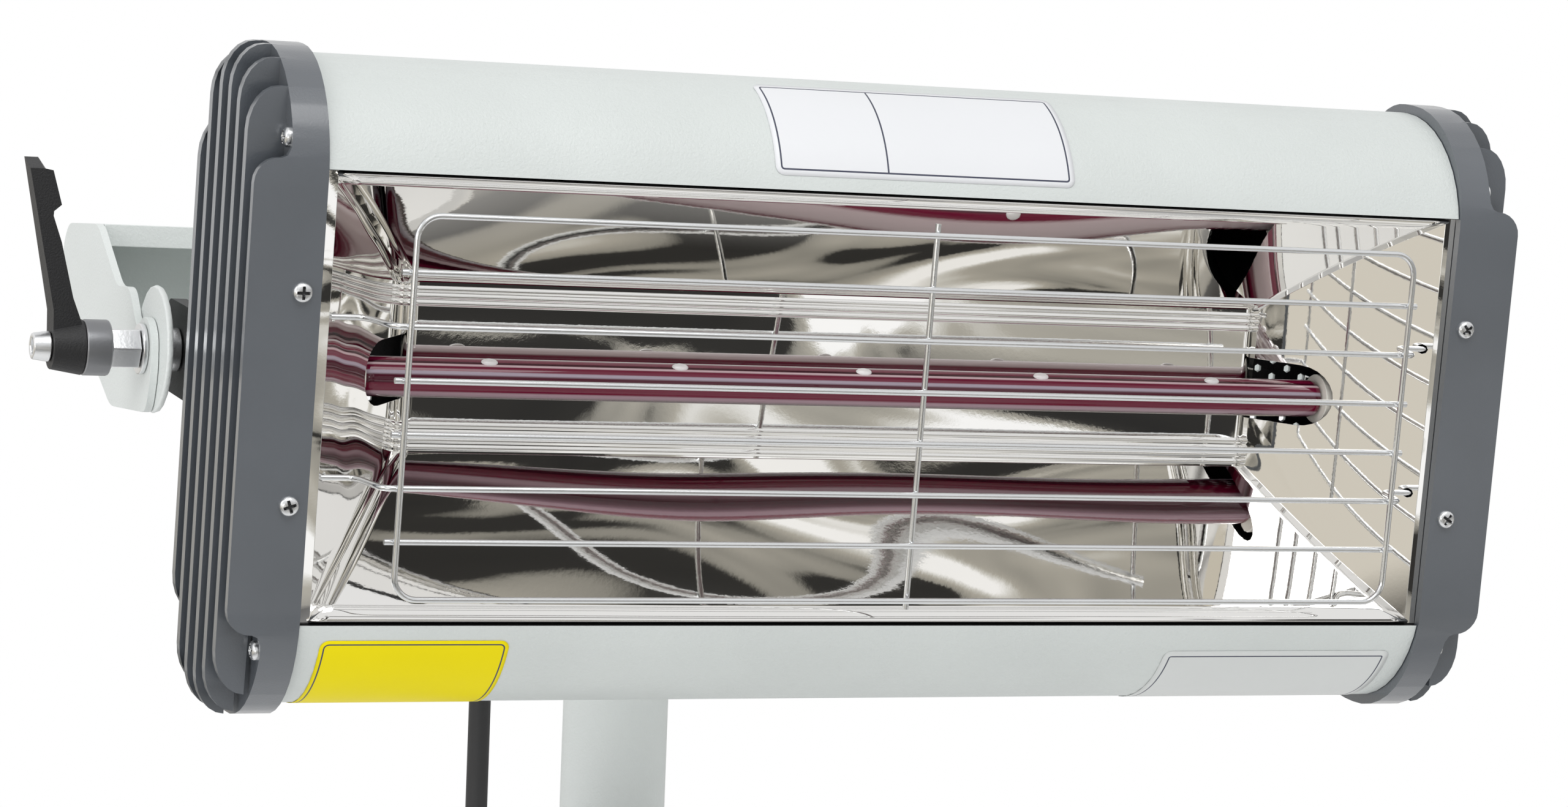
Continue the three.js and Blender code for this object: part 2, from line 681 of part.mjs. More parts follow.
// The stud is riveted in the bracket and bored for the clamp bolt; places are about the pivot axis
function pivotStud() {
  const headStart = plateOuter - bracketPlate - clearance - studHeadHeight;
  const end = discInner - clearance;
  const collarStart = plateOuter + clearance;
  const body = joined(
    rod(studHead / 2, studHeadHeight, 'x', [headStart, 0, 0], roundSides),
    rod(studDiameter / 2, end - headStart, 'x', [headStart, 0, 0], roundSides),
    rod(studCollar / 2, end - collarStart, 'x', [collarStart, 0, 0], roundSides));
  return cut(body, rod(boltBore, end, 'x', [headStart + studHeadHeight / 2, 0, 0]));
}

function flatRing(outer, from, to, bore) {
  return cut(rod(outer / 2, to - from, 'x', [from, 0, 0], roundSides),
    rod(bore, to - from + overrun * 2, 'x', [from - overrun, 0, 0]));
}

// The ear's outline about the pivot, as shares of its reach backwards and of its height above the axis
const earShares = [[0.573, 1], [0.935, 1], [1, 0.78], [0.905, 0.02], [0.516, -0.268], [0.363, -0.512], [-0.04, -0.512],
  [-0.0847, -0.2], [-0.0847, 0.06], [0.089, 0.171], [0.177, 0.488], [0.323, 0.488]];
const earCorner = 5;

function yokeEar() {
  const points = earShares.map(([back, up]) => [back * earReach, up * earTop]);
  const plate = prismX(rounded(points, earCorner), earInner, earOuter, bendSteps);
  const nose = rod(earNose, earThickness, 'x', [earInner, 0, 0], roundSides);
  const floor = box([earInner - overrun, -earReach, -earBottom - earTop], [earOuter + overrun, earReach, -earBottom]);
  return cut(joined(plate, nose), floor, rod(boltBore, earThickness + overrun * 2, 'x', [earInner - overrun, 0, 0]));
}

// A lipped channel, open to the front, with a cradle welded on its rear for the round mast
function yokeBar() {
  const low = earTop - barHeight;
  const line = [[barFront, low + barLip], [barFront, low], [barRear, low], [barRear, earTop], [barFront, earTop],
    [barFront, earTop - barLip]];
  const channel = prismX(sheet(line, barSheet), -discOuter, discOuter);
  const depth = barRear + cradleThickness + mastDiameter / 4;
  const cradle = cut(
    box([-mastOffset - cradleWidth / 2, barRear - barSheet / 2, low], [-mastOffset + cradleWidth / 2, depth, earTop]),
    rod(mastDiameter / 2 + clearance, barHeight + overrun * 2, 'z', [-mastOffset, mastBack, low - overrun], roundSides));
  return cut(joined(channel, cradle), ...mastBoltHoles());
}

const mastBoltMiddle = earTop - barHeight / 2;
const mastBoltHeights = [mastBoltMiddle - mastBoltSpacing / 2, mastBoltMiddle + mastBoltSpacing / 2];

function mastBoltHoles() {
  return mastBoltHeights.map((height) => rod(mastBoltDiameter / 2 + clearance, mastDiameter * 2, 'y',
    [-mastOffset, barFront, height]));
}

function mastTube() {
  const length = earTop + mastBelowPivot;
  const outer = rod(mastDiameter / 2, length, 'z', [-mastOffset, mastBack, -mastBelowPivot], roundSides);
  const inner = rod(mastDiameter / 2 - mastWall, length + overrun * 2, 'z',
    [-mastOffset, mastBack, -mastBelowPivot - overrun], roundSides);
  return cut(outer, inner, ...mastBoltHoles());
}

// A plastic plug closes the mast's upper end
function mastPlug() {
  const top = earTop + clearance;
  const inside = mastDiameter / 2 - mastWall - clearance;
  const profile = [[0, -plugDepth / 2], [inside * 0.8, -plugDepth / 2], [inside * 0.8, -plugDepth], [inside, -plugDepth],
    [inside, 0], [mastDiameter / 2, 0], [mastDiameter / 2, plugHeight / 2], [mastDiameter * 0.4, plugHeight],
    [0, plugHeight]];
  return turned(profile, 'z', [-mastOffset, mastBack, top], roundSides);
}

function mastBolt(height) {
  const seat = barRear - barSheet - clearance;
  const length = mastBack + mastDiameter / 2 + mastBoltHeadHeight - seat;
  return joined(
    hexBar(mastBoltHead, mastBoltHeadHeight, '-y', [-mastOffset, seat, height]),
    rod(mastBoltDiameter / 2, length + mastBoltHeadHeight, '-y', [-mastOffset, seat + length, height]));
}

function mastNut(height) {
  const seat = mastBack + mastDiameter / 2 + clearance;
  return cut(hexBar(mastBoltHead, mastBoltHeadHeight, 'y', [-mastOffset, seat, height]),
    rod(mastBoltDiameter / 2 + clearance, mastBoltHeadHeight * 3, 'y', [-mastOffset, seat - mastBoltHeadHeight, height]));
}

// The clamp bolt's hex drives it, and the lever sits on its stem; the left-hand form is drawn on the right
function clampBolt() {
  const inEnd = plateOuter - bracketPlate;
  const stemEnd = hubOuter - hubLength / 4;
  const body = joined(
    rod(boltDiameter / 2, hexInner - inEnd + clearance, 'x', [inEnd, 0, 0]),
    hexBar(hexFlats, hexLength, 'x', [hexInner, 0, 0]),
    rod(stemDiameter / 2, stemEnd - hexOuter + clearance, 'x', [hexOuter - clearance, 0, 0]));
  return cut(body, rod(leverScrewShank / 2 + clearance, hubLength + collarLength, '-x', [hubOuter, 0, 0]));
}

// The arm's outline in X and Z: distance outwards from the hub's inner end, and share of the lever's reach
const leverOutShares = [[0.09, 0.13], [0.396, 0.262], [0.82, 0.552], [1.11, 0.69], [1.1, 0.715], [0.853, 0.75],
  [1.157, 0.93], [1.46, 1], [1.91, 1], [1.02, 0.195], [1, 0]];

function clampLever() {
  const points = leverOutShares.map(([out, up]) => [hubInner + out * hubLength, up * leverReach]);
  points.push([hubInner, 0]);
  const arm = prismY(new THREE.Shape(points.map(([x, z]) => new THREE.Vector2(x, z))),
    -leverThickness / 2, leverThickness / 2);
  const hub = rod(hubInnerDiameter / 2, hubLength, 'x', [hubInner, 0, 0], roundSides, hubOuterDiameter / 2);
  const bore = rod(stemDiameter / 2 + clearance, hubLength + overrun * 2, 'x', [hubInner - overrun, 0, 0]);
  return cut(joined(arm, hub), bore);
}

function leverScrew() {
  const seat = hubOuter + clearance;
  const body = joined(
    rod(leverScrewHead / 2, leverScrewHeadHeight, 'x', [seat, 0, 0], roundSides, leverScrewHead * 0.42),
    rod(leverScrewShank / 2, hubLength + leverScrewHeadHeight / 2, 'x', [seat - hubLength, 0, 0]));
  return cut(body, hexBar(leverScrewSocket, overrun, 'x', [seat + leverScrewHeadHeight / 2, 0, 0]));
}

// The right-hand pivot has a plain hex bolt
function pivotBolt() {
  const inEnd = plateOuter - bracketPlate;
  return joined(
    rod(boltDiameter / 2, hexInner - inEnd + clearance, 'x', [inEnd, 0, 0]),
    hexBar(hexFlats, boltDiameter * 0.66, 'x', [hexInner, 0, 0]));
}

// Gland and strain relief on the rear of the shell
function cableGland() {
  const seat = shellRear + clearance;
  const bore = cableDiameter / 2 + clearance;
  const place = [-glandSide, seat, -glandDrop];
  const body = joined(
    hexBar(glandFlats, glandHex, 'y', place),
    rod(glandThread / 2, glandHex * 3 / 2 + shellSheet + clearance, '-y', [-glandSide, seat + glandHex / 2, -glandDrop]),
    rod(glandFlats * 0.45, glandDome, 'y', [-glandSide, seat + glandHex - clearance, -glandDrop], roundSides,
      glandTip / 2 + glandTip / 4));
  return cut(body, rod(bore, capDepth, 'y', [-glandSide, seat - capDepth / 2, -glandDrop]));
}

function strainRelief() {
  const start = shellRear + glandHex + glandDome + clearance * 2;
  const bore = cableDiameter / 2 + clearance / 2;
  const place = [-glandSide, start, -glandDrop];
  return cut(rod(glandTip / 2 + clearance, reliefLength, 'y', place, smallSides, reliefTip / 2),
    rod(bore, reliefLength * 2, 'y', [-glandSide, start - reliefLength / 2, -glandDrop]));
}

// The lead's free stretch hangs from the strain relief to the coil, in the stand's frame
const tilt = THREE.MathUtils.degToRad(restTilt);
const exitDepth = shellRear + glandHex + glandDome + clearance * 3 + reliefLength - pivotBack;
const leadStart = new THREE.Vector3(-glandSide, exitDepth * Math.cos(tilt) + glandDrop * Math.sin(tilt),
  exitDepth * Math.sin(tilt) - glandDrop * Math.cos(tilt));
const leadPoints = [[0, 0, 0], [0, 4, 0.4], [0, 9, 0.8], [0, 16.5, -0.4], [0, 25.5, -4.6], [0.1, 33, -11.6],
  [0.2, 38.2, -20.6], [0.3, 40.6, -31], [0.3, 41.2, -46], [0.3, 41.2, -70], [0.3, 41.2, -98], [0.3, 41.2, -126],
  [0.3, 41.2, -154], [0.3, 41.2, -174]];

function leadTube() {
  const path = new THREE.CatmullRomCurve3(
    leadPoints.map(([x, y, z]) => new THREE.Vector3(x, y, z).add(leadStart)), false, 'centripetal');
  const section = new THREE.Shape().absarc(0, 0, cableDiameter / 2, 0, Math.PI * 2);
  return solid(new THREE.ExtrudeGeometry(section, { steps: 18, extrudePath: path, curveSegments: 5 }));
}

// The spare length is one unbroken tube, wound inwards in one layer and outwards in the next
const leadEnd = new THREE.Vector3(...leadPoints.at(-1)).add(leadStart);
const coilOuter = coilRadius + coilPitch * coilTurns / 2;
const coilCentre = new THREE.Vector3(leadEnd.x + coilOuter, leadEnd.y, leadEnd.z - clearance - cableDiameter);

function coilLine() {
  const steps = coilTurns * coilStepsPerTurn;
  const middle = steps / 2;
  const line = [new THREE.Vector3(leadEnd.x, leadEnd.y, leadEnd.z - clearance)];
  for (let step = 0; step <= steps; step += 1) {
    const angle = Math.PI * (1 + step / coilStepsPerTurn * 2);
    const radius = coilRadius + coilPitch * Math.abs(step - middle) / coilStepsPerTurn;
    const climb = THREE.MathUtils.smoothstep(step, middle - coilStepsPerTurn / 4, middle + coilStepsPerTurn / 4);
    line.push(new THREE.Vector3(radius * Math.cos(angle), climb * coilPitch, radius * Math.sin(angle)).add(coilCentre));
  }
  const last = line.at(-1);
  line.push(new THREE.Vector3(last.x, last.y, last.z - coilTail / 2));
  line.push(new THREE.Vector3(last.x, last.y, last.z - coilTail));
  return line;
}

// The least gap of the wound tube to itself, between points that lie more than a few diameters apart along it
function leastGap(line) {
  const apart = Math.round(coilStepsPerTurn / 3);
  let least = Infinity;
  line.forEach((point, at) => line.slice(at + apart).forEach((other) => {
    least = Math.min(least, point.distanceTo(other));
  }));
  return least - cableDiameter;
}

function leadCoil() {
  const line = coilLine();
  console.log(`least gap in the coil ${leastGap(line).toFixed(2)} mm`);
  const path = new THREE.CatmullRomCurve3(line, false, 'centripetal');
  path.arcLengthDivisions = line.length * 10;
  const section = new THREE.Shape().absarc(0, 0, cableDiameter / 2, 0, Math.PI * 2);
  return solid(new THREE.ExtrudeGeometry(
    section, { steps: line.length, extrudePath: path, curveSegments: coilSides / 2 }));
}

// A strap round the turns at the top of the coil
function coilTie() {
  const high = ((coilOuter - coilRadius) * (1 - 1 / coilTurns) + cableDiameter) / 2 + coilTieSlack;
  const deep = (coilPitch + cableDiameter) / 2 + coilTieSlack;
  const middle = [coilCentre.y + coilPitch / 2, coilCentre.z + (coilOuter + coilRadius) / 2];
  const loop = (grow) => rounded([[1, 1], [-1, 1], [-1, -1], [1, -1]].map(([back, up]) => [
    middle[0] + back * (deep + grow), middle[1] + up * (high + grow)]), cableDiameter / 2);
  const strap = loop(tieThickness);
  strap.holes.push(loop(0));
  return prismX(strap, coilCentre.x - tieWidth / 2, coilCentre.x + tieWidth / 2, bendSteps);
}

function leadPlug() {
  const end = coilLine().at(-1);
  const [neck, body] = [plugNeckDiameter / 2, plugBodyDiameter / 2];
  const whole = plugNeckLength + plugBodyLength;
  const profile = [[0, 0], [neck * 0.8, 0], [neck, plugNeckLength], [body * 0.9, plugNeckLength],
    [body, plugNeckLength + plugBodyLength * 0.12], [body, whole * 0.6], [plugRingDiameter / 2, whole * 0.6],
    [plugRingDiameter / 2, whole * 0.85], [body, whole * 0.85], [body, whole], [body * 0.8, whole],
    [body * 0.8, whole - overrun], [0, whole - overrun]];
  return turned(profile, '-z', [end.x, end.y, end.z - clearance], roundSides);
}

piece('end_cap_left', endCap(), greyCast, head, -1);
piece('end_cap_right', endCap(), greyCast, head);
piece('housing_shell', housingShell(), lightPaint, head);
piece('reflector_trough', reflectorTrough(), mirror, head);
pair('reflector_end', reflectorEnd(), mirror, head);
piece('quartz_tube', rod(tubeDiameter / 2, tubeLength, 'x', [-tubeLength / 2, tubeDepth, tubeRise], roundSides), ruby, head);
pair('lamp_base', lampBase(), ceramic, head);
pair('lamp_clip', lampClip(), bright, head);
piece('terminal_block', terminalBlock(), ceramic, head);
piece('guard_ring', guardRing(), bright, head);
for (let at = 0; at < guardWires; at += 1) {
  const footed = at === 1 || at === guardWires - 2;
  piece(`guard_wire_${at + 1}`, footed ? footedWire(wireHeight(at)) : plainWire(wireHeight(at)), bright, head);
}
piece('guard_upright', guardUpright(), bright, head);
for (const [end, word] of [[1, 'upper'], [-1, 'lower']]) {
  pair(`face_screw_${word}`, panScrew('y', [frontScrewX, 0, end * screwSpacing / 2]), zinc, head);
  pair(`side_screw_${word}`, panScrew('-x', [capWallFace, pocketScrewDepth, end * pocketScrewZ]), zinc, head);
  pair(`bracket_screw_${word}`, panScrew('-y', [bracketScrewX, capDepth + bracketFoot + clearance,
    end * bracketScrewSpacing / 2], screwLength + bracketFoot), zinc, head);
}
pair('pivot_bracket', pivotBracket(), blackPaint, head);
pair('pivot_stud', pivotStud().translate(0, pivotBack, 0), zinc, head);
piece('cable_gland', cableGland(), blackPlastic, head);
piece('strain_relief', strainRelief(), rubber, head);

for (const [name, side] of [['left', -1], ['right', 1]]) {
  const disc = flatRing(discDiameter, discInner, discOuter, boltBore);
  const washer = flatRing(washerDiameter, washerInner, washerOuter, boltBore);
  piece(`friction_disc_${name}`, disc, lightPaint, stand, side);
  piece(`yoke_ear_${name}`, yokeEar(), lightPaint, stand, side);
  piece(`pivot_washer_${name}`, washer, zinc, stand, side);
}
piece('yoke_bar', yokeBar(), lightPaint, stand);
piece('mast_tube', mastTube(), lightPaint, stand);
piece('mast_plug', mastPlug(), blackPlastic, stand);
for (const [at, word] of [[1, 'upper'], [0, 'lower']]) {
  piece(`mast_bolt_${word}`, mastBolt(mastBoltHeights[at]), zinc, stand);
  piece(`mast_nut_${word}`, mastNut(mastBoltHeights[at]), zinc, stand);
}
piece('pivot_bolt', pivotBolt(), zinc, stand);
piece('clamp_bolt', clampBolt(), zinc, stand, -1);
piece('lever_collar', flatRing(collarDiameter, collarInner, collarOuter, stemDiameter / 2 + clearance), blackPaint,
  stand, -1);
piece('clamp_lever', clampLever(), blackPaint, stand, -1);
piece('lever_screw', leverScrew(), zinc, stand, -1);
piece('lead_tube', leadTube(), rubber, stand);
piece('lead_coil', leadCoil(), rubber, stand);
piece('coil_tie', coilTie(), blackPlastic, stand);
piece('lead_plug', leadPlug(), blackPlastic, stand);

export default lamp;
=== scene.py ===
# %% [markdown]
# # An infrared paint curing lamp
# The real lamp is a tool for car body repairs: a ruby quartz tube in a mirror trough throws heat on fresh
# paint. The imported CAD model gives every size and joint. This lesson dresses it: it softens edges that a
# press or a mould would leave soft, remakes round wires, screws and the lead as finer meshes, and gives
# each surface its finish.

# %% Load the frame
import json
import math

import bmesh
import bpy
from mathutils import Matrix, Vector

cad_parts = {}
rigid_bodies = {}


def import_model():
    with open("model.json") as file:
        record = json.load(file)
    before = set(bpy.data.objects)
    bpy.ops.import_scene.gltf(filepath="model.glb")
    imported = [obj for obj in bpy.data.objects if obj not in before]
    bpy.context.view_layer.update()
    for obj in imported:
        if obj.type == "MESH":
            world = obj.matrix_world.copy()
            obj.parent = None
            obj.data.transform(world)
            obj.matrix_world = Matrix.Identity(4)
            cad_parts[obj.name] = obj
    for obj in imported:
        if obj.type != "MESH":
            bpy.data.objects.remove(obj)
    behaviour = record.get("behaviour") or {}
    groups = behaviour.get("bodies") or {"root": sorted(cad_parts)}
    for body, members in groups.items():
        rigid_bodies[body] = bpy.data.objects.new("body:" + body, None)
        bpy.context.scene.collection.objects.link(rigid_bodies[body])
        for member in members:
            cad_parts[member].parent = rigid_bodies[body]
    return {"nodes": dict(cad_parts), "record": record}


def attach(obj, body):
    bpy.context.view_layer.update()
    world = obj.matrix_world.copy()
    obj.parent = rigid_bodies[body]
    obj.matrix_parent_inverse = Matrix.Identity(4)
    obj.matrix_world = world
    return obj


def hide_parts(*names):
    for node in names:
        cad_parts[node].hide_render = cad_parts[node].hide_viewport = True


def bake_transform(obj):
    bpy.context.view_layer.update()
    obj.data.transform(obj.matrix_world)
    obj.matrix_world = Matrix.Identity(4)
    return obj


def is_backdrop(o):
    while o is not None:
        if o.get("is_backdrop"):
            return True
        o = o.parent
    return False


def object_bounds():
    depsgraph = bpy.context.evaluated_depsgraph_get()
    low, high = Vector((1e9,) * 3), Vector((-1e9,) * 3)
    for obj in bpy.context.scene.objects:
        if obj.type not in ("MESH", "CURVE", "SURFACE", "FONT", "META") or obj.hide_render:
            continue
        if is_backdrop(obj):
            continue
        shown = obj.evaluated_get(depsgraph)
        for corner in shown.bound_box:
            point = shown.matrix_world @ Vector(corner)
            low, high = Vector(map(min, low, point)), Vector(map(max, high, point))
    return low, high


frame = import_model()
nodes = frame["nodes"]
cad_low, cad_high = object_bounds()
MM = 0.001
print("CAD box in mm:", [round(v / MM) for v in (*cad_low, *cad_high)])

# %% [markdown]
# ## Camera
# The photograph was taken from the lamp's left, level with its middle. Its lens and place were worked out
# from the corners of the window, so the camera is set by its three axes, and not by looking at a target.

# %% Camera
PHOTO_WIDTH, FOCAL_LENGTH = 2560, 6715.6  # both in the photograph's pixels
SENSOR_WIDTH = 36
camera_right = Vector((0.9222, -0.3849, 0.0371))
camera_up = Vector((-0.0206, 0.0469, 0.9987))
camera_look = Vector((0.3861, 0.9218, -0.0354))
camera_place = Vector((-0.5469, -1.4601, 0.2679))
camera = bpy.data.objects.new("camera", bpy.data.cameras.new("camera"))
camera.data.sensor_width = SENSOR_WIDTH
camera.data.lens = SENSOR_WIDTH * FOCAL_LENGTH / PHOTO_WIDTH
camera.matrix_world = (Matrix.Translation(camera_place)
                       @ Matrix((camera_right, camera_up, -camera_look)).transposed().to_4x4())
bpy.context.scene.collection.objects.link(camera)
bpy.context.scene.camera = camera
bpy.context.scene.view_settings.view_transform = "Standard"
print("lens", round(camera.data.lens, 1), "mm")

# %% [markdown]
# ## Helpers for shader nodes
# Every finish and light below is a small tree of nodes. Three helpers keep those trees readable: one adds a
# node with its values, one links pairs of sockets, and one makes a colour ramp from its stops.

# %% Node helpers
WHITE = (1, 1, 1, 1)


def add(tree, kind, **values):
    """A node, with its properties and its plain input values."""
    node = tree.nodes.new(kind)
    for key, value in values.items():
        if hasattr(node, key):
            setattr(node, key, value)
        else:
            node.inputs[key.replace("_", " ")].default_value = value
    return node


def wire(tree, *ends):
    """Links given as pairs of sockets."""
    for start, end in zip(ends[::2], ends[1::2]):
        tree.links.new(start, end)


def ramp(tree, *stops):
    """A colour ramp with stops of a place and a colour, the first of them at nought."""
    node = add(tree, "ShaderNodeValToRGB")
    for place, tone in stops:
        stop = node.color_ramp.elements.new(place) if place else node.color_ramp.elements[0]
        stop.color = (*tone, 1)
    node.color_ramp.elements.remove(node.color_ramp.elements[-1])
    return node


# %% [markdown]
# ## The room
# Polished sheet shows its surroundings, so a bare white world would make the trough look flat. The world
# here is a pale room with some darker furniture low in front of the lamp, as any workshop has. The camera
# itself sees white.

# %% World
world = bpy.data.worlds.new("pale_room")
bpy.context.scene.world = world
world.use_nodes = True
tree = world.node_tree
tree.nodes.clear()
where = add(tree, "ShaderNodeTexCoord")
split = add(tree, "ShaderNodeSeparateXYZ")
low = add(tree, "ShaderNodeMapRange", interpolation_type="SMOOTHSTEP", From_Min=0.42, From_Max=0.1)
ahead = add(tree, "ShaderNodeMapRange", interpolation_type="SMOOTHSTEP", From_Min=0.25, From_Max=-0.2)
clutter = add(tree, "ShaderNodeTexNoise", Scale=3.2, Detail=2.5, Roughness=0.55, Distortion=0.9)
shapes = add(tree, "ShaderNodeMapRange", From_Min=0.53, From_Max=0.6)
low_ahead = add(tree, "ShaderNodeMath", operation="MULTIPLY")
furniture = add(tree, "ShaderNodeMath", operation="MULTIPLY")
wire(tree, where.outputs["Generated"], split.inputs[0], where.outputs["Generated"], clutter.inputs["Vector"],
     split.outputs["Z"], low.inputs["Value"], split.outputs["Y"], ahead.inputs["Value"],
     low.outputs[0], low_ahead.inputs[0], ahead.outputs[0], low_ahead.inputs[1],
     clutter.outputs["Fac"], shapes.inputs["Value"],
     low_ahead.outputs[0], furniture.inputs[0], shapes.outputs[0], furniture.inputs[1])
room = add(tree, "ShaderNodeMix", data_type="RGBA")
room.inputs["A"].default_value = WHITE
room.inputs["B"].default_value = (0.06, 0.055, 0.05, 1)
light_path = add(tree, "ShaderNodeLightPath")
seen = add(tree, "ShaderNodeMix", data_type="RGBA")
seen.inputs["B"].default_value = WHITE
level = add(tree, "ShaderNodeMapRange", To_Min=0.82, To_Max=1.0)
background = add(tree, "ShaderNodeBackground")
output = add(tree, "ShaderNodeOutputWorld")
wire(tree, furniture.outputs[0], room.inputs["Factor"], room.outputs["Result"], seen.inputs["A"],
     light_path.outputs["Is Camera Ray"], seen.inputs["Factor"],
     light_path.outputs["Is Camera Ray"], level.inputs["Value"],
     seen.outputs["Result"], background.inputs["Color"],
     level.outputs[0], background.inputs["Strength"], background.outputs[0], output.inputs["Surface"])
print("world nodes:", len(tree.nodes))

# %% [markdown]
# ## Softboxes
# Three wide area lamps stand where a studio has them: one overhead, one at the left, and a weak one low in
# front that lifts the undersides. Wide lamps give soft shadows, and their edges show as calm highlights on
# the paint.

# %% Softboxes
LIT_POINT = Vector((0, -0.2, 0.25))


def softbox(name, place, size, power):
    """A rectangular area lamp that faces the lamp head."""
    light = bpy.data.lights.new(name, "AREA")
    light.shape, light.size, light.size_y, light.energy = "RECTANGLE", *size, power
    box = bpy.data.objects.new(name, light)
    box.location = place
    box.rotation_euler = (LIT_POINT - Vector(place)).to_track_quat("-Z", "Y").to_euler()
    bpy.context.scene.collection.objects.link(box)


softbox("overhead_softbox", place=(-0.3, -1.65, 2.1), size=(1.8, 1.0), power=19)
softbox("low_softbox", place=(-1.3, -1.7, -0.05), size=(1.2, 0.6), power=4)
softbox("side_softbox", place=(-2.3, -0.9, 1.0), size=(1.0, 1.6), power=8)
print("softboxes:", len(bpy.data.lights))

# %% [markdown]
# ## Floor
# The floor is pale matt paper that keeps the lamp's shadow and turns plain white farther out. The mirror
# sheet faces it, so what a mirror ray finds there matters: soft patches of grey and dark to the right, and
# a beige board to the left, as things that lie about. Light Path keeps them from the camera, which sees
# white.

# %% Floor sheet
FLOOR_HALF, FLOOR_DROP = 9, 2
bm = bmesh.new()
bmesh.ops.create_grid(bm, x_segments=1, y_segments=1, size=FLOOR_HALF)
bmesh.ops.translate(bm, verts=bm.verts, vec=(0, 0, cad_low.z - FLOOR_DROP * MM))
floor_mesh = bpy.data.meshes.new("floor")
bm.to_mesh(floor_mesh)
bm.free()
floor = bpy.data.objects.new("floor", floor_mesh)
bpy.context.scene.collection.objects.link(floor)
floor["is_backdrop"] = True
paper = bpy.data.materials.new("pale_paper")
paper.use_nodes = True
floor_mesh.materials.append(paper)
print("floor at", round(cad_low.z / MM), "mm")

# %% What the mirror finds on the floor
tree = paper.node_tree
tree.nodes.clear()
where = add(tree, "ShaderNodeTexCoord")
drawn_out = add(tree, "ShaderNodeMapping", Location=(0.3, 0.5, 0), Scale=(1, 0.5, 1))
patches = add(tree, "ShaderNodeTexNoise", Scale=4.6, Detail=2.5, Roughness=0.5, Distortion=0.8)
tones = ramp(tree, (0, (0.016, 0.016, 0.017)), (0.45, (0.035, 0.034, 0.032)), (0.475, (0.28, 0.27, 0.24)),
             (0.545, (0.44, 0.42, 0.37)), (0.575, (0.66, 0.65, 0.61)), (0.60, (1, 1, 1)))
sides = add(tree, "ShaderNodeSeparateXYZ")
to_the_left = add(tree, "ShaderNodeMapRange", interpolation_type="SMOOTHSTEP", From_Min=-0.6, From_Max=-0.9)
board = add(tree, "ShaderNodeMix", data_type="RGBA")
board.inputs["B"].default_value = (0.66, 0.62, 0.54, 1)
light_path = add(tree, "ShaderNodeLightPath")
seen = add(tree, "ShaderNodeMix", data_type="RGBA")
seen.inputs["B"].default_value = WHITE
glow = add(tree, "ShaderNodeEmission", Strength=1.0)
wire(tree, where.outputs["Object"], drawn_out.inputs["Vector"],
     drawn_out.outputs[0], patches.inputs["Vector"],
     patches.outputs["Fac"], tones.inputs["Fac"], tones.outputs["Color"], board.inputs["A"],
     where.outputs["Object"], sides.inputs[0], sides.outputs["X"], to_the_left.inputs["Value"],
     to_the_left.outputs[0], board.inputs["Factor"], board.outputs["Result"], seen.inputs["A"],
     light_path.outputs["Is Camera Ray"], seen.inputs["Factor"], seen.outputs["Result"], glow.inputs["Color"])
print("floor tones:", len(tones.color_ramp.elements))

# %% Matt paper near the lamp
matt = add(tree, "ShaderNodeBsdfDiffuse", Color=(0.86, 0.86, 0.86, 1))
far = add(tree, "ShaderNodeVectorMath", operation="LENGTH")
fade = add(tree, "ShaderNodeMapRange", interpolation_type="SMOOTHSTEP", From_Min=0.25, From_Max=0.85)
seen_or_glossy = add(tree, "ShaderNodeMath", operation="MAXIMUM")
or_through = add(tree, "ShaderNodeMath", operation="MAXIMUM")
share = add(tree, "ShaderNodeMath", operation="MULTIPLY")
mixed = add(tree, "ShaderNodeMixShader")
output = add(tree, "ShaderNodeOutputMaterial")
wire(tree, where.outputs["Object"], far.inputs[0], far.outputs["Value"], fade.inputs["Value"],
     light_path.outputs["Is Camera Ray"], seen_or_glossy.inputs[0],
     light_path.outputs["Is Glossy Ray"], seen_or_glossy.inputs[1],
     seen_or_glossy.outputs[0], or_through.inputs[0],
     light_path.outputs["Is Transmission Ray"], or_through.inputs[1],
     or_through.outputs[0], share.inputs[0], fade.outputs[0], share.inputs[1],
     share.outputs[0], mixed.inputs[0],
     matt.outputs[0], mixed.inputs[1], glow.outputs[0], mixed.inputs[2],
     mixed.outputs[0], output.inputs["Surface"])
print("floor nodes:", len(tree.nodes))

# %% [markdown]
# ## Finishes
# Powder coat, satin casting paint, rubber and plated wire differ in grain and gloss more than in colour.
# One node group gives them all: a fine noise for the grain, a wide one for the slow drift of tone, and an
# edge value that the softened meshes carry. That value mixes in a lighter edge colour, which is partly
# thinner paint on an edge and partly a painted highlight for the light that a rounded edge catches. Each
# material sets its own numbers.

# %% The coat group
coat = bpy.data.node_groups.new("coat", "ShaderNodeTree")
for name, kind, default in (
        ("Colour", "NodeSocketColor", (0.5, 0.5, 0.5, 1)),
        ("Edge Colour", "NodeSocketColor", (0.7, 0.7, 0.7, 1)),
        ("Mottle", "NodeSocketFloat", 0.1), ("Roughness", "NodeSocketFloat", 0.5),
        ("Grain Size", "NodeSocketFloat", 1000.0), ("Grain Height", "NodeSocketFloat", 0.1)):
    socket = coat.interface.new_socket(name, in_out="INPUT", socket_type=kind)
    socket.default_value = default
for name, kind in (("Colour", "NodeSocketColor"), ("Roughness", "NodeSocketFloat"),
                   ("Normal", "NodeSocketVector")):
    coat.interface.new_socket(name, in_out="OUTPUT", socket_type=kind)
given, made = add(coat, "NodeGroupInput"), add(coat, "NodeGroupOutput")
where = add(coat, "ShaderNodeTexCoord")
wide = add(coat, "ShaderNodeTexNoise", Scale=22.0, Detail=3.0)
drift = add(coat, "ShaderNodeMapRange", From_Min=0.3, From_Max=0.7, To_Min=-0.5, To_Max=0.5)
amount = add(coat, "ShaderNodeMath", operation="MULTIPLY")
scaled = add(coat, "ShaderNodeMath", operation="ADD")
scaled.inputs[1].default_value = 1.0
toned = add(coat, "ShaderNodeVectorMath", operation="SCALE")
edge = add(coat, "ShaderNodeAttribute", attribute_name="edge")
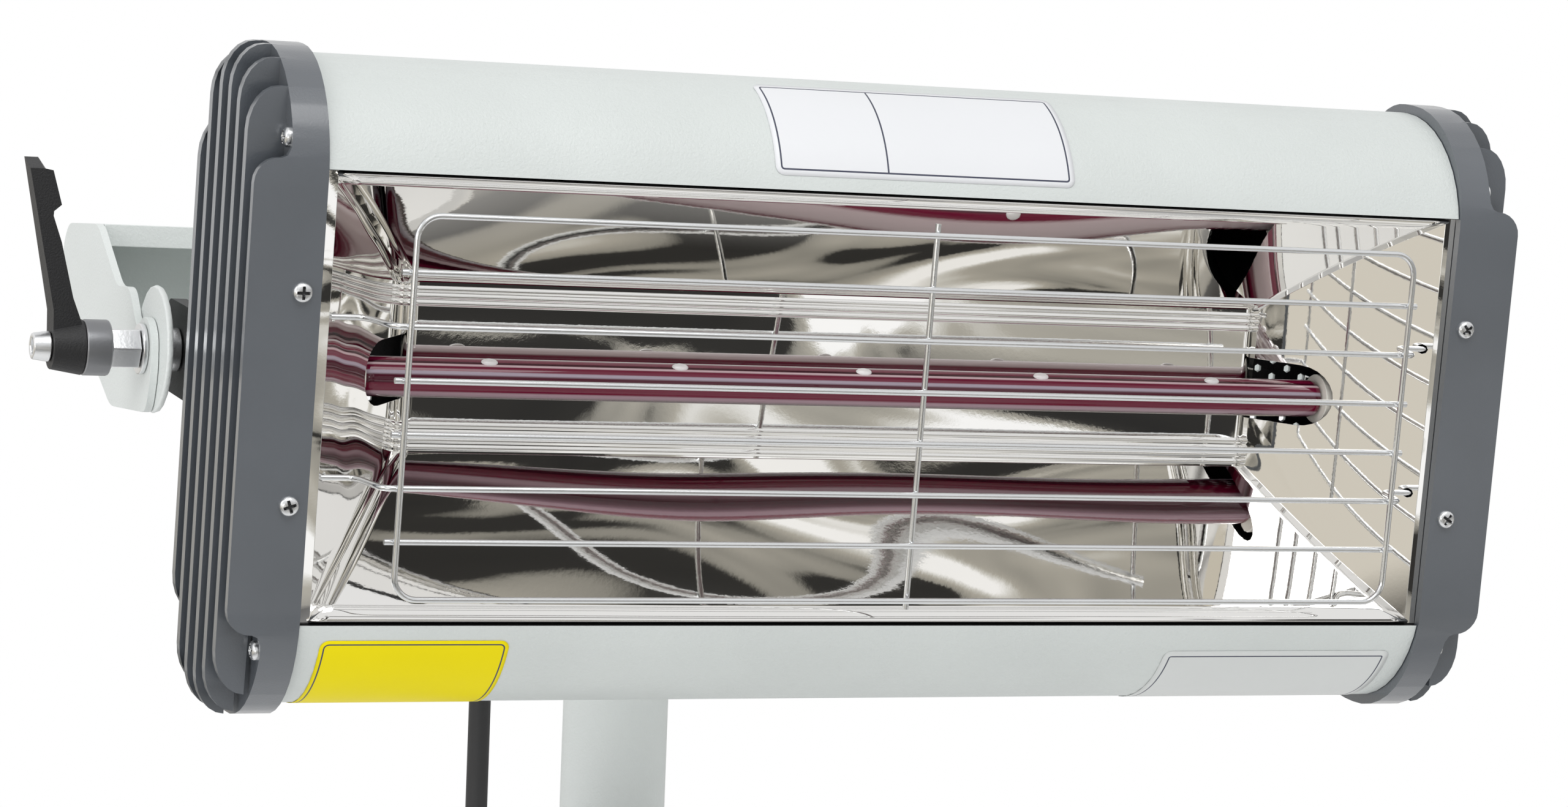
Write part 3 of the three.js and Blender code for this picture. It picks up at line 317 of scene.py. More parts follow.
# The lighter edge colour is partly wear of thin paint and partly a painted highlight on rounded edges.
rubbed_and_lit = add(coat, "ShaderNodeMix", data_type="RGBA")
wire(coat, where.outputs["Object"], wide.inputs["Vector"], wide.outputs["Fac"], drift.inputs["Value"],
     drift.outputs[0], amount.inputs[0], given.outputs["Mottle"], amount.inputs[1],
     amount.outputs[0], scaled.inputs[0],
     given.outputs["Colour"], toned.inputs[0], scaled.outputs[0], toned.inputs["Scale"],
     toned.outputs[0], rubbed_and_lit.inputs["A"], given.outputs["Edge Colour"], rubbed_and_lit.inputs["B"],
     edge.outputs["Fac"], rubbed_and_lit.inputs["Factor"], rubbed_and_lit.outputs["Result"], made.inputs["Colour"])

# %% Gloss and grain of the coat group
gloss = add(coat, "ShaderNodeMath", operation="MULTIPLY_ADD")
fine = add(coat, "ShaderNodeTexNoise", Detail=3.0, Roughness=0.6)
bump = add(coat, "ShaderNodeBump", Distance=0.0004)
wire(coat, amount.outputs[0], gloss.inputs[0], given.outputs["Roughness"], gloss.inputs[1],
     given.outputs["Roughness"], gloss.inputs[2], gloss.outputs[0], made.inputs["Roughness"],
     where.outputs["Object"], fine.inputs["Vector"], given.outputs["Grain Size"], fine.inputs["Scale"],
     fine.outputs["Fac"], bump.inputs["Height"], given.outputs["Grain Height"], bump.inputs["Strength"],
     bump.outputs[0], made.inputs["Normal"])
print("coat group:", len(coat.nodes), "nodes")

# %% A helper for finishes
LOOKS = {}


def coated(name, colour, edge_colour, mottle, roughness, grain, height, **sockets):
    """A finish from the coat group, kept in LOOKS under its name, with any other values of its shader."""
    material = LOOKS[name] = bpy.data.materials.new(name)
    material.use_nodes = True
    tree = material.node_tree
    shader = tree.nodes["Principled BSDF"]
    group = tree.nodes.new("ShaderNodeGroup")
    group.node_tree = coat
    for socket, value in (("Colour", (*colour, 1)), ("Edge Colour", (*edge_colour, 1)), ("Mottle", mottle),
                          ("Roughness", roughness), ("Grain Size", grain), ("Grain Height", height)):
        group.inputs[socket].default_value = value
    wire(tree, group.outputs["Colour"], shader.inputs["Base Color"], group.outputs["Roughness"],
         shader.inputs["Roughness"], group.outputs["Normal"], shader.inputs["Normal"])
    for socket, value in sockets.items():
        shader.inputs[socket.replace("_", " ")].default_value = value
    return material


# %% Painted, plated and moulded finishes
# Each line gives the name, colour, edge colour, mottle, roughness, grain size and grain height
coated("light_paint", (0.635, 0.67, 0.655), (0.76, 0.79, 0.78), 0.05, 0.42, 1000, 0.6)
coated("stand_paint_and_light", (0.74, 0.775, 0.76), (0.82, 0.85, 0.84), 0.04, 0.42, 1000, 0.6)
coated("cap_paint", (0.088, 0.099, 0.114), (0.15, 0.16, 0.175), 0.14, 0.38, 1500, 0.25,
       Specular_IOR_Level=0.7, Coat_Weight=1.0, Coat_Roughness=0.2)
coated("black_paint", (0.014, 0.014, 0.015), (0.04, 0.04, 0.042), 0.15, 0.5, 1500, 0.5)
coated("black_plastic", (0.012, 0.012, 0.013), (0.03, 0.03, 0.03), 0.1, 0.5, 1200, 0.2)
coated("lead_rubber", (0.028, 0.028, 0.029), (0.04, 0.04, 0.04), 0.15, 0.5, 2200, 0.25)
coated("ceramic", (0.78, 0.75, 0.68), (0.85, 0.83, 0.78), 0.08, 0.7, 700, 0.3)
coated("bright_wire", (0.80, 0.81, 0.82), (0.9, 0.9, 0.9), 0.06, 0.16, 500, 0.05, Metallic=1.0)
coated("zinc_steel", (0.82, 0.83, 0.84), (0.92, 0.92, 0.92), 0.12, 0.27, 800, 0.1, Metallic=1.0)
coated("satin_grey", (0.24, 0.245, 0.255), (0.4, 0.4, 0.41), 0.06, 0.34, 900, 0.1, Metallic=0.6)
print(len(LOOKS), "finishes")

# %% [markdown]
# ## Paint in the fins' gaps
# Little light reaches the narrow gaps between a cap's fins, so their shade is painted. The cap's mesh carries
# a value for the gaps, set further on, and the paint turns darker and loses its coat with it.

# %% Painted shade between the fins
tree = LOOKS["cap_paint"].node_tree
gap_shade = add(tree, "ShaderNodeAttribute", attribute_name="gap_shade")
shaded = add(tree, "ShaderNodeMix", data_type="RGBA")
shaded.inputs["A"].default_value = tree.nodes["Group"].inputs["Colour"].default_value
# Near-black colour of the painted shade deep in the gaps.
shaded.inputs["B"].default_value = (0.008, 0.011, 0.015, 1)
shaded_coat = add(tree, "ShaderNodeMapRange", To_Min=1.0, To_Max=0.05)
wire(tree, gap_shade.outputs["Fac"], shaded.inputs["Factor"],
     shaded.outputs["Result"], tree.nodes["Group"].inputs["Colour"],
     gap_shade.outputs["Fac"], shaded_coat.inputs["Value"],
     shaded_coat.outputs[0], tree.nodes["Principled BSDF"].inputs["Coat Weight"])
print("cap paint:", len(tree.nodes), "nodes")

# %% [markdown]
# ## Ruby quartz
# A coated quartz tube is glossy and nearly opaque. Its lengthwise highlights and reflections are painted, as
# sharp bands of dark, ruby and pale pink: the tube's mesh carries a value that runs from its under side to
# its upper side, and a ramp turns that into the bands.

# %% Painted highlight bands of the quartz
tree = coated("ruby_quartz", (0.13, 0.005, 0.025), (0.2, 0.01, 0.02), 0.35, 0.04, 60, 0.02).node_tree
ROSE_HIGHLIGHT, PALE_HIGHLIGHT = (0.34, 0.22, 0.26), (0.36, 0.30, 0.36)
PINK_HIGHLIGHT, CORE = (0.60, 0.44, 0.47), (0.17, 0.007, 0.035)
highlight_band = add(tree, "ShaderNodeAttribute", attribute_name="highlight_band")
# Painted reflection bands: pale and pink stops are painted highlights, the dark stops painted shade.
highlight_bands = ramp(tree, (0, (0.04, 0.002, 0.008)), (0.05, ROSE_HIGHLIGHT), (0.09, ROSE_HIGHLIGHT), (0.12, (0.14, 0.004, 0.026)),
             (0.27, (0.12, 0.004, 0.022)), (0.30, (0.06, 0.008, 0.018)), (0.48, (0.07, 0.008, 0.020)),
             (0.53, PALE_HIGHLIGHT), (0.58, PALE_HIGHLIGHT), (0.61, (0.15, 0.005, 0.030)), (0.72, (0.14, 0.004, 0.028)),
             (0.75, PINK_HIGHLIGHT), (0.78, PINK_HIGHLIGHT), (0.80, (0.045, 0.002, 0.010)), (0.84, (0.05, 0.003, 0.012)),
             (0.87, CORE), (0.94, CORE), (0.97, (0.62, 0.5, 0.52)))
wire(tree, highlight_band.outputs["Fac"], highlight_bands.inputs["Fac"], highlight_bands.outputs["Color"],
     tree.nodes["Principled BSDF"].inputs["Base Color"])
print("bands:", len(highlight_bands.color_ramp.elements))

# %% [markdown]
# ## Mirror sheet
# Thin polished sheet is never quite flat, and its reflections swim. Bending the mesh would take very many
# faces, so the mesh carries the small lean of its surface as a vector, which is added to the normal. The
# end plates carry a strength for a bump as well, because short leftover ripples show there.

# %% Mirror sheet
mirror = coated("mirror_sheet", (0.92, 0.91, 0.89), (0.93, 0.93, 0.92), 0.02, 0.015, 500, 0.004, Metallic=1.0)
tree = mirror.node_tree
where = add(tree, "ShaderNodeTexCoord")
waves = add(tree, "ShaderNodeTexNoise", Scale=11.0, Detail=1.0, Distortion=0.8)
ripple = add(tree, "ShaderNodeAttribute", attribute_name="ripple")
bent = add(tree, "ShaderNodeBump", Distance=0.005)
lean = add(tree, "ShaderNodeAttribute", attribute_name="lean")
turn = add(tree, "ShaderNodeVectorTransform", vector_type="VECTOR", convert_from="OBJECT", convert_to="WORLD")
leaning = add(tree, "ShaderNodeVectorMath", operation="ADD")
upright = add(tree, "ShaderNodeVectorMath", operation="NORMALIZE")
wire(tree, lean.outputs["Vector"], turn.inputs[0], turn.outputs[0], leaning.inputs[0],
     tree.nodes["Group"].outputs["Normal"], leaning.inputs[1], leaning.outputs[0], upright.inputs[0],
     where.outputs["Object"], waves.inputs["Vector"], waves.outputs["Fac"], bent.inputs["Height"],
     ripple.outputs["Fac"], bent.inputs["Strength"], upright.outputs[0], bent.inputs["Normal"],
     bent.outputs[0], tree.nodes["Principled BSDF"].inputs["Normal"])
print("mirror sheet:", len(tree.nodes), "nodes")

# %% Finishes on the CAD nodes
SLOT = {row["node"]: row["material_slot"] for row in frame["record"]["subparts"]}
for node, slot in SLOT.items():
    mesh = nodes[node].data
    mesh.materials.clear()
    mesh.materials.append(LOOKS[slot])
print(len(SLOT), "nodes dressed")

# %% [markdown]
# ## Softened copies
# Bent sheet, castings and turned bars have no knife edges. A copy of the CAD mesh is merged and cleared of
# the lines inside its flat faces, and every sharp edge gets a narrow bevel, which also fills inner corners
# as a fillet does. The lever's tip is sloped as well. New pieces are drawn in the frame that they belong
# to: the stand's, or the head's, which is tipped back at rest.

# %% A helper for new pieces
HEAD_TIP, PIVOT_PLACE, PIVOT_DEPTH = 6.5, (15.7, -122.3, 230), 103
STAND = Matrix.Translation(Vector(PIVOT_PLACE) * MM)
TIPPED = STAND @ Matrix.Rotation(math.radians(HEAD_TIP), 4, "X")
HEAD = TIPPED @ Matrix.Translation(Vector((0, -PIVOT_DEPTH, 0)) * MM)
HEAD_IN_MM = HEAD @ Matrix.Scale(MM, 4)
BODY = {node: body for body, members in frame["record"]["behaviour"]["bodies"].items() for node in members}


def made_of(name, bm, node, sharp=34, place=None, replaces=(), rides=True, look=None):
    """The bmesh as a piece of the lamp, with the body and the finish of the CAD node that it stands for."""
    if place is not None:
        bmesh.ops.transform(bm, matrix=place, verts=bm.verts)
    mesh = bpy.data.meshes.new(name)
    bm.to_mesh(mesh)
    bm.free()
    mesh.shade_smooth()
    mesh.set_sharp_from_angle(angle=math.radians(sharp))
    mesh.materials.append(look or LOOKS[SLOT[node]])
    made = bpy.data.objects.new(name, mesh)
    bpy.context.scene.collection.objects.link(made)
    if rides:
        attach(made, BODY[node])
    if replaces is not None:
        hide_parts(*(replaces or (node,)))
    return made


# %% A helper for softened copies
MERGE, FLAT_ANGLE, KEEN_ANGLE = 0.004, 0.6, 38
TIP_LENGTH, TIP_SLANT = 3, 3.8


def softened(node, width):
    """A copy of a CAD node with its sharp edges bevelled by a width in millimetres."""
    bm = bmesh.new()
    bm.from_mesh(nodes[node].data)
    bmesh.ops.remove_doubles(bm, verts=bm.verts, dist=MERGE * MM)
    bmesh.ops.dissolve_limit(bm, angle_limit=math.radians(FLAT_ANGLE), verts=bm.verts, edges=bm.edges)
    if node == "clamp_lever":
        tip = max(vert.co.z for vert in bm.verts)
        for vert in bm.verts:
            if vert.co.z > tip - TIP_LENGTH * MM and vert.normal.y < 0:
                vert.co.z -= TIP_SLANT * MM
    keen = [e for e in bm.edges if len(e.link_faces) == 2 and e.calc_face_angle() > math.radians(KEEN_ANGLE)]
    cut = bmesh.ops.bevel(bm, geom=keen, offset=width * MM, offset_type="OFFSET", affect="EDGES", segments=2,
                          profile=0.5, material=-1, clamp_overlap=True)
    strip = set(cut["faces"])
    # The bevel strips get the edge value, which lightens the colour there: partly thin paint, partly a
    # painted highlight.
    layer = bm.verts.layers.float.new("edge")
    for vert in bm.verts:
        vert[layer] = float(all(face in strip for face in vert.link_faces))
    weighted = made_of(f"{node}_form", bm, node).modifiers.new("even_normals", "WEIGHTED_NORMAL")
    weighted.keep_sharp = True


# %% Softened castings, sheets and bars
EDGE_WIDTHS = {
    "end_cap_left": 0.7, "end_cap_right": 0.7, "housing_shell": 0.45, "reflector_end_left": 0.3,
    "reflector_end_right": 0.3, "yoke_ear_left": 0.9, "yoke_ear_right": 0.9, "yoke_bar": 0.6,
    "friction_disc_left": 0.8, "friction_disc_right": 0.8, "mast_tube": 0.4, "mast_plug": 0.5,
    "pivot_bracket_left": 0.9, "pivot_bracket_right": 0.9, "clamp_bolt": 0.5, "pivot_bolt": 0.5,
    "lever_collar": 0.6, "clamp_lever": 1.2, "lever_screw": 0.5, "pivot_washer_left": 0.3,
    "pivot_washer_right": 0.3, "pivot_stud_left": 0.4, "pivot_stud_right": 0.4,
    "mast_bolt_upper": 0.5, "mast_bolt_lower": 0.5, "mast_nut_upper": 0.5, "mast_nut_lower": 0.5,
    "cable_gland": 0.6, "terminal_block": 0.5, "lamp_clip_left": 0.25, "lamp_clip_right": 0.25,
    "coil_tie": 0.4, "lamp_base_left": 0.6, "lamp_base_right": 0.6}
for node, width in EDGE_WIDTHS.items():
    softened(node, width)
print(len(EDGE_WIDTHS), "softened pieces")

# %% [markdown]
# ## Dished end plates
# The slanted plates at the trough's ends are pressed from the same mirror sheet, and pressing leaves each a
# little hollow. The lean of a hollow surface grows with the way from its middle, so each point's lean is
# worked out from its offset, down the slant and across it.

# %% Lean and ripple of the end plates
END_RUN, TROUGH_DEPTH = 41.3, 54
for side, ripple, way, dish, cross_dish in (("left", 0.6, 1, 0.8, 0.8), ("right", 0.02, -1, 1.5, 0.2)):
    mesh = bpy.data.objects[f"reflector_end_{side}_form"].data
    strength = mesh.attributes.new("ripple", "FLOAT", "POINT")
    strength.data.foreach_set("value", [ripple] * len(mesh.vertices))
    centre = sum((vert.co for vert in mesh.vertices), Vector()) / len(mesh.vertices)
    deep = HEAD.to_3x3() @ Vector((way * END_RUN, TROUGH_DEPTH, 0)).normalized()
    leans = [cross_dish * off + (dish - cross_dish) * deep * (off @ deep)
             for off in (vert.co - centre for vert in mesh.vertices)]
    lean = mesh.attributes.new("lean", "FLOAT_VECTOR", "POINT")
    lean.data.foreach_set("vector", [part for vector in leans for part in vector])
    print(side, "plate leans up to", round(max(vector.length for vector in leans), 3))

# %% [markdown]
# ## Paint of the stand and the inside of the housing
# The yoke and the mast have a coat of their own, a shade lighter than the housing's: partly the stand's own
# paint, partly painted light that lifts them in the head's shade. The lever's collar is satin metal. The
# housing's faces that look inwards get the black paint, so that the openings of the mirror's ends show a dark
# hollow with the points of light of the vents behind it.

# %% Second finishes
INSIDE_DEPTH, HEM_DEPTH = 60, 2.5
# A lighter copy of the paint: partly the stand's own colour, partly painted light for the head's shade.
for node in ("yoke_bar", "yoke_ear_left", "yoke_ear_right", "friction_disc_left", "friction_disc_right",
             "mast_tube"):
    bpy.data.objects[f"{node}_form"].data.materials[0] = LOOKS["stand_paint_and_light"]
bpy.data.objects["lever_collar_form"].data.materials[0] = LOOKS["satin_grey"]
shell = bpy.data.objects["housing_shell_form"].data
shell.materials.append(LOOKS["black_paint"])
to_head = HEAD.inverted()
for face in shell.polygons:
    centre = to_head @ face.center / MM
    inwards = Vector((0, INSIDE_DEPTH - centre.y, -centre.z)) @ (to_head.to_3x3() @ face.normal)
    face.material_index = int(inwards > 0 and centre.y > HEM_DEPTH)
print("dark faces:", sum(face.material_index for face in shell.polygons))

# %% [markdown]
# ## Painted shade in the gaps between the fins
# Behind the face plate each cap has six fins, which step up one after another. The shade in the gaps is
# painted: a point in a gap is dark where the fin in front of it covers it, and light where it stands out
# above that fin. The cap's tall faces are first cut at even heights, so that the value has points to change
# at. The outer edges of the fins stay light, and the value fades towards them.

# %% Painted shade values of the caps
CUT_PITCH, CAP_HALF = 6, 102
FACE_PLATE, FIN_PITCH, FINS = 3, 11.05, 6
GAP_BOTTOM, GAP_FRONT, GAP_BACK, RIM = 214, 2.9, 66.6, 0.5
TIP_BAND, SAME_DEPTH, STEP_ABOVE, STEP_FADE = 6, 1.5, 4, 16
for side in ("left", "right"):
    cap = bpy.data.objects[f"end_cap_{side}_form"].data
    bm = bmesh.new()
    bm.from_mesh(cap)
    bmesh.ops.transform(bm, matrix=Matrix.Scale(1 / MM, 4) @ to_head, verts=bm.verts)
    for height in range(-CAP_HALF, CAP_HALF + 1, CUT_PITCH):
        bmesh.ops.bisect_plane(bm, geom=bm.faces[:] + bm.edges[:] + bm.verts[:], plane_co=(0, 0, height),
                               plane_no=(0, 0, 1))
    reach = max(abs(vert.co.x) for vert in bm.verts)
    tips = [vert.co for vert in bm.verts if abs(vert.co.x) > reach - TIP_BAND]
    tops = [max(abs(co.z) for co in tips if abs(co.y - FACE_PLATE - FIN_PITCH * fin) < SAME_DEPTH)
            for fin in range(FINS)]
    # Painted shade: full where the fin in front covers a point, fading to none above it.
    gap_shade = bm.verts.layers.float.new("gap_shade")
    for vert in bm.verts:
        x, y, z = abs(vert.co.x), vert.co.y, abs(vert.co.z)
        if GAP_BOTTOM < x < reach - RIM and GAP_FRONT < y < GAP_BACK:
            before = max(int((y - FACE_PLATE - RIM) / FIN_PITCH), 0)
            vert[gap_shade] = min(max((tops[before] - z + STEP_ABOVE) / STEP_FADE, 0), 1)
    bmesh.ops.transform(bm, matrix=HEAD_IN_MM, verts=bm.verts)
    bm.to_mesh(cap)
    bm.free()
    print(side, "fin tops:", [round(top, 1) for top in tops])

# %% [markdown]
# ## Wires
# A wire is a circle drawn along a line. Each helper step makes one ring of points where the line turns and
# bridges it to the ring before, so bends stay round, and a closed line joins its last ring to its first.
# Turned pieces are a profile spun round an axis, and bends in a plane are arcs.

# %% The sweep


def swept(bm, line, radius, sides=16, closed=False):
    """A tube of that radius along a line of points, in the line's own units."""
    points = [Vector(p) for p in line]
    count = len(points)
    rings, turn, before = [], None, None
    for at, point in enumerate(points):
        ahead = points[(at + 1) % count] if closed or at < count - 1 else point
        behind = points[at - 1] if closed or at else point
        course = (ahead - behind).normalized()
        if turn is None:
            turn = course.to_track_quat("Z", "Y")
        else:
            turn = before.rotation_difference(course) @ turn
        before = course
        capped = not closed and at in (0, count - 1)
        ring = bmesh.ops.create_circle(bm, segments=sides, radius=radius, cap_ends=capped,
                                       matrix=Matrix.Translation(point) @ turn.to_matrix().to_4x4())
        rings.append(ring["verts"])
    pairs = list(zip(rings, rings[1:])) + ([(rings[-1], rings[0])] if closed else [])
    for first, second in pairs:
        for side in range(sides):
            after = (side + 1) % sides
            bm.faces.new((first[side], first[after], second[after], second[side]))
    bmesh.ops.recalc_face_normals(bm, faces=bm.faces)


# %% Turned pieces and arcs


def turned(profile, place, sides=32):
    """A profile of radius and distance, spun round the Z axis."""
    bm = bmesh.new()
    verts = [bm.verts.new((radius, 0, along)) for radius, along in profile]
    edges = [bm.edges.new(pair) for pair in zip(verts, verts[1:])]
    bmesh.ops.spin(bm, geom=verts + edges, cent=(0, 0, 0), axis=(0, 0, 1), angle=math.tau, steps=sides,
                   use_merge=True)
    bmesh.ops.remove_doubles(bm, verts=bm.verts, dist=1e-4)
    bmesh.ops.recalc_face_normals(bm, faces=bm.faces)
    bmesh.ops.transform(bm, matrix=place, verts=bm.verts)
    return bm


def arc(centre, radius, start, end, steps):
    """Points on an arc in a plane, with its angles in degrees."""
    return [(centre[0] + radius * math.cos(math.radians(start + (end - start) * at / steps)),
             centre[1] + radius * math.sin(math.radians(start + (end - start) * at / steps)))
            for at in range(steps + 1)]


# %% [markdown]
# ## Wire guard
# The guard is welded from plated wire: a ring with rounded corners, six cross wires and an upright. Two of
# the cross wires are longer, and their ends bend back behind the edges of the caps, which is how the guard
# is held. Each wire is a line for the sweep: the ring is four arcs in a loop, and a held wire follows a few
# points at either end.

# %% Wire guard
WIRE_RADIUS = 1.0
RING_DEPTH, CROSS_DEPTH, UPRIGHT_DEPTH = -14.0, -11.9, -9.8
HALF_WIDTH, HALF_HEIGHT, RING_CORNER, CORNER_STEPS = 178.0, 60.5, 7.5, 8
CROSS_REACH, UPRIGHT_REACH = 181.5, 64
bm = bmesh.new()
corners = [(1, 1, 0), (-1, 1, 90), (-1, -1, 180), (1, -1, 270)]
corner_x, corner_z = HALF_WIDTH - RING_CORNER, HALF_HEIGHT - RING_CORNER
loop = [p for x, z, start in corners
        for p in arc((x * corner_x, z * corner_z), RING_CORNER, start, start + 90, CORNER_STEPS)]
swept(bm, [(x, RING_DEPTH, z) for x, z in loop], WIRE_RADIUS, closed=True)
made_of("guard_ring_wire", bm, "guard_ring", place=HEAD_IN_MM)
WIRE_HEIGHTS = [42.5, 25.5, 8.5, -8.5, -25.5, -42.5]
HELD_WIRES = (1, 4)
foot = [(180, CROSS_DEPTH), (181.6, CROSS_DEPTH + 0.5), (183, CROSS_DEPTH + 1.9), (184.5, -4.2), (185.8, 2.6),
        (187.2, 5.4), (188.6, 6.3), (190.5, 6.4), (205, 6.4)]
for at, height in enumerate(WIRE_HEIGHTS):
    bm = bmesh.new()
    if at in HELD_WIRES:
        line = [(-x, y, height) for x, y in reversed(foot)] + [(x, y, height) for x, y in foot]
    else:
        line = [(x, CROSS_DEPTH, height) for x in (-CROSS_REACH, CROSS_REACH)]
    swept(bm, line, WIRE_RADIUS)
    made_of(f"guard_cross_wire_{at + 1}", bm, f"guard_wire_{at + 1}", place=HEAD_IN_MM)
bm = bmesh.new()
swept(bm, [(0, UPRIGHT_DEPTH, z) for z in (-UPRIGHT_REACH, UPRIGHT_REACH)], WIRE_RADIUS)
made_of("guard_upright_wire", bm, "guard_upright", place=HEAD_IN_MM)
print("guard wires:", len(WIRE_HEIGHTS) + 2)

# %% [markdown]
# ## The reflector
# The trough is one polished sheet with two slightly bowed walls and a flat back. Rolled beads stiffen the
# back along both edges. A line of points gives the section, extruding draws it out in steps, and each step
# is scaled to the slant of the ends. The left end of a hand-fitted sheet is the most strained, so the lean
# of its surface grows there.

# %% Section of the trough
LIP_DEPTH, RISE, LIP_HALF, BACK_HALF, BOW = 2.0, 2.9, 70.5, 28.3, 1.2
BACK_DEPTH = LIP_DEPTH + TROUGH_DEPTH
BEADS = (28.9, 26.6, 24.3, -16.2, -18.7, -21.2, -23.7)
UPPER_BEADS, BEAD_HALF, BEAD_RISE = 3, 0.95, 0.35
BEAD_SHAPE = ((-1.2, 0), (-1, 0), (-0.6, 0.65), (0, 1), (0.6, 0.65), (1, 0), (1.2, 0))
FLAT_HEIGHTS = (14, 4, -6)


def wall(side, steps=10):
    """Depth and height along one wall, from the lip to the back."""
    lip, back = Vector((LIP_DEPTH, side * LIP_HALF)), Vector((BACK_DEPTH, RISE + side * BACK_HALF))
    run = back - lip
    outwards = Vector((-run.y, run.x)).normalized() * side * BOW
    return [lip + run * at / steps + outwards * math.sin(math.pi * at / steps) for at in range(steps + 1)]


def beads(heights):
    """Depth and height over a row of beads in the flat back."""
    return [Vector((BACK_DEPTH - BEAD_RISE * rise, height - BEAD_HALF * along))
            for height in heights for along, rise in BEAD_SHAPE]


flat = [Vector((BACK_DEPTH, height)) for height in FLAT_HEIGHTS]
section = wall(1) + beads(BEADS[:UPPER_BEADS]) + flat + beads(BEADS[UPPER_BEADS:]) + wall(-1)[::-1]
print("trough section:", len(section), "points")

# %% Trough drawn out along the lamp
END_AT_LIP, SHEET, STEPS_ALONG = 200.0, 1.2, 64
bm = bmesh.new()
verts = [bm.verts.new((-1, depth, height)) for depth, height in section]
edges = [bm.edges.new(pair) for pair in zip(verts, verts[1:])]
for step in range(STEPS_ALONG):
    drawn = bmesh.ops.extrude_edge_only(bm, edges=edges)["geom"]
    edges = [part for part in drawn if isinstance(part, bmesh.types.BMEdge)
             and all(vert in drawn for vert in part.verts)]
    bmesh.ops.translate(bm, verts=[part for part in drawn if isinstance(part, bmesh.types.BMVert)],
                        vec=(2 / STEPS_ALONG, 0, 0))
for vert in bm.verts:
    vert.co.x *= END_AT_LIP - END_RUN / TROUGH_DEPTH * (vert.co.y - LIP_DEPTH)

# %% Lean of the trough's walls
STRAIN_FROM, STRAIN_LENGTH = -50, 150
WALL_LEAN, WALL_GROWTH, END_LEAN, END_GROWTH = 0.11, 1.8, 0.05, 3
WALL_WAVE, LENGTH_WAVE = (0.012, 29, 17, 0), (0.018, 43, -23, 1)
BACK_SLACK = 0.1


def swell(wave, x, z):
    """A slow wave over the sheet, given as its size, its pace along and up the lamp in mm, and its start."""
    size, along, up, start = wave
    return size * math.sin(x / along + z / up + start)


lean = bm.verts.layers.float_vector.new("lean")
for vert in bm.verts:
    x, _, z = vert.co
    side = (z > RISE + BACK_HALF + BACK_SLACK) - (z < RISE - BACK_HALF - BACK_SLACK)
    slope = Vector((0, TROUGH_DEPTH, RISE + side * (BACK_HALF - LIP_HALF))).normalized()
    strain = max((STRAIN_FROM - x) / STRAIN_LENGTH, 0)
    towards_back = side * WALL_LEAN * strain ** WALL_GROWTH + swell(WALL_WAVE, x, z)
    along = swell(LENGTH_WAVE, x, z) + END_LEAN * strain ** END_GROWTH
    vert[lean] = HEAD.to_3x3() @ (slope * towards_back + Vector((along, 0, 0)))
bmesh.ops.recalc_face_normals(bm, faces=bm.faces)
if sum(face.normal.y for face in bm.faces) > 0:
    bmesh.ops.reverse_faces(bm, faces=bm.faces)
trough = made_of("trough_sheet", bm, "reflector_trough", place=HEAD_IN_MM, sharp=40)
thickness = trough.modifiers.new("thickness", "SOLIDIFY")
thickness.thickness, thickness.offset = SHEET * MM, -1
print("trough faces:", len(trough.data.polygons))

# %% [markdown]
# ## The quartz tube
# A short-wave emitter is a thin tube of ruby quartz. Both its ends are pressed flat inside ceramic caps.
# Spinning a profile gives the tube with its rounded shoulders, and each point gets the value that the painted
# highlight bands are read from: its height across the tube, along the direction in which the bands lie one
# above the other.

# %% Quartz tube
TUBE_RADIUS, TUBE_HALF, TUBE_DEPTH, TUBE_RISE = 6.6, 176.5, 42.0, 1.8
BAND_TIP, BAND_UP = 0.113, (0, 0.171, 0.985)
shoulder = [(0, 0), (4.4, 0), (5.7, 0.4), (6.4, 1.5), (TUBE_RADIUS, 3.2)]
tube_profile = ([(radius, along - TUBE_HALF) for radius, along in shoulder]
                + [(radius, TUBE_HALF - along) for radius, along in reversed(shoulder)])
tube_middle = Vector((0, TUBE_DEPTH, TUBE_RISE))
tube_axis = Matrix.Translation(tube_middle)
bm = turned(tube_profile, tube_axis @ Matrix.Rotation(math.pi / 2, 4, "Y"), sides=48)
upwards = Matrix.Rotation(-BAND_TIP, 3, "X") @ Vector(BAND_UP)
# Value across the tube that the painted highlight bands are read from.
layer = bm.verts.layers.float.new("highlight_band")
for vert in bm.verts:
    vert[layer] = 0.5 + 0.5 * (vert.co - tube_middle) @ upwards / TUBE_RADIUS
made_of("ruby_tube", bm, "quartz_tube", place=HEAD_IN_MM)
print("tube diameter:", 2 * TUBE_RADIUS, "mm")

# %% [markdown]
# ## Dimples of the tube
# Small dimples hold the filament in the middle of the tube. The quartz is thick and clear there, and each
# dimple is a flattened ball of quartz that stands a little out of the tube. Its pale colour is partly the
# clear quartz and partly a painted glint for the light that the specks catch.

# %% Dimples
DIMPLES, DIMPLE_PITCH, DIMPLE_SHIFT, DIMPLE_TURN = 5, 66.7, -0.4, -62
DIMPLE_SIZE = (2.9, 1.7, 1.1)
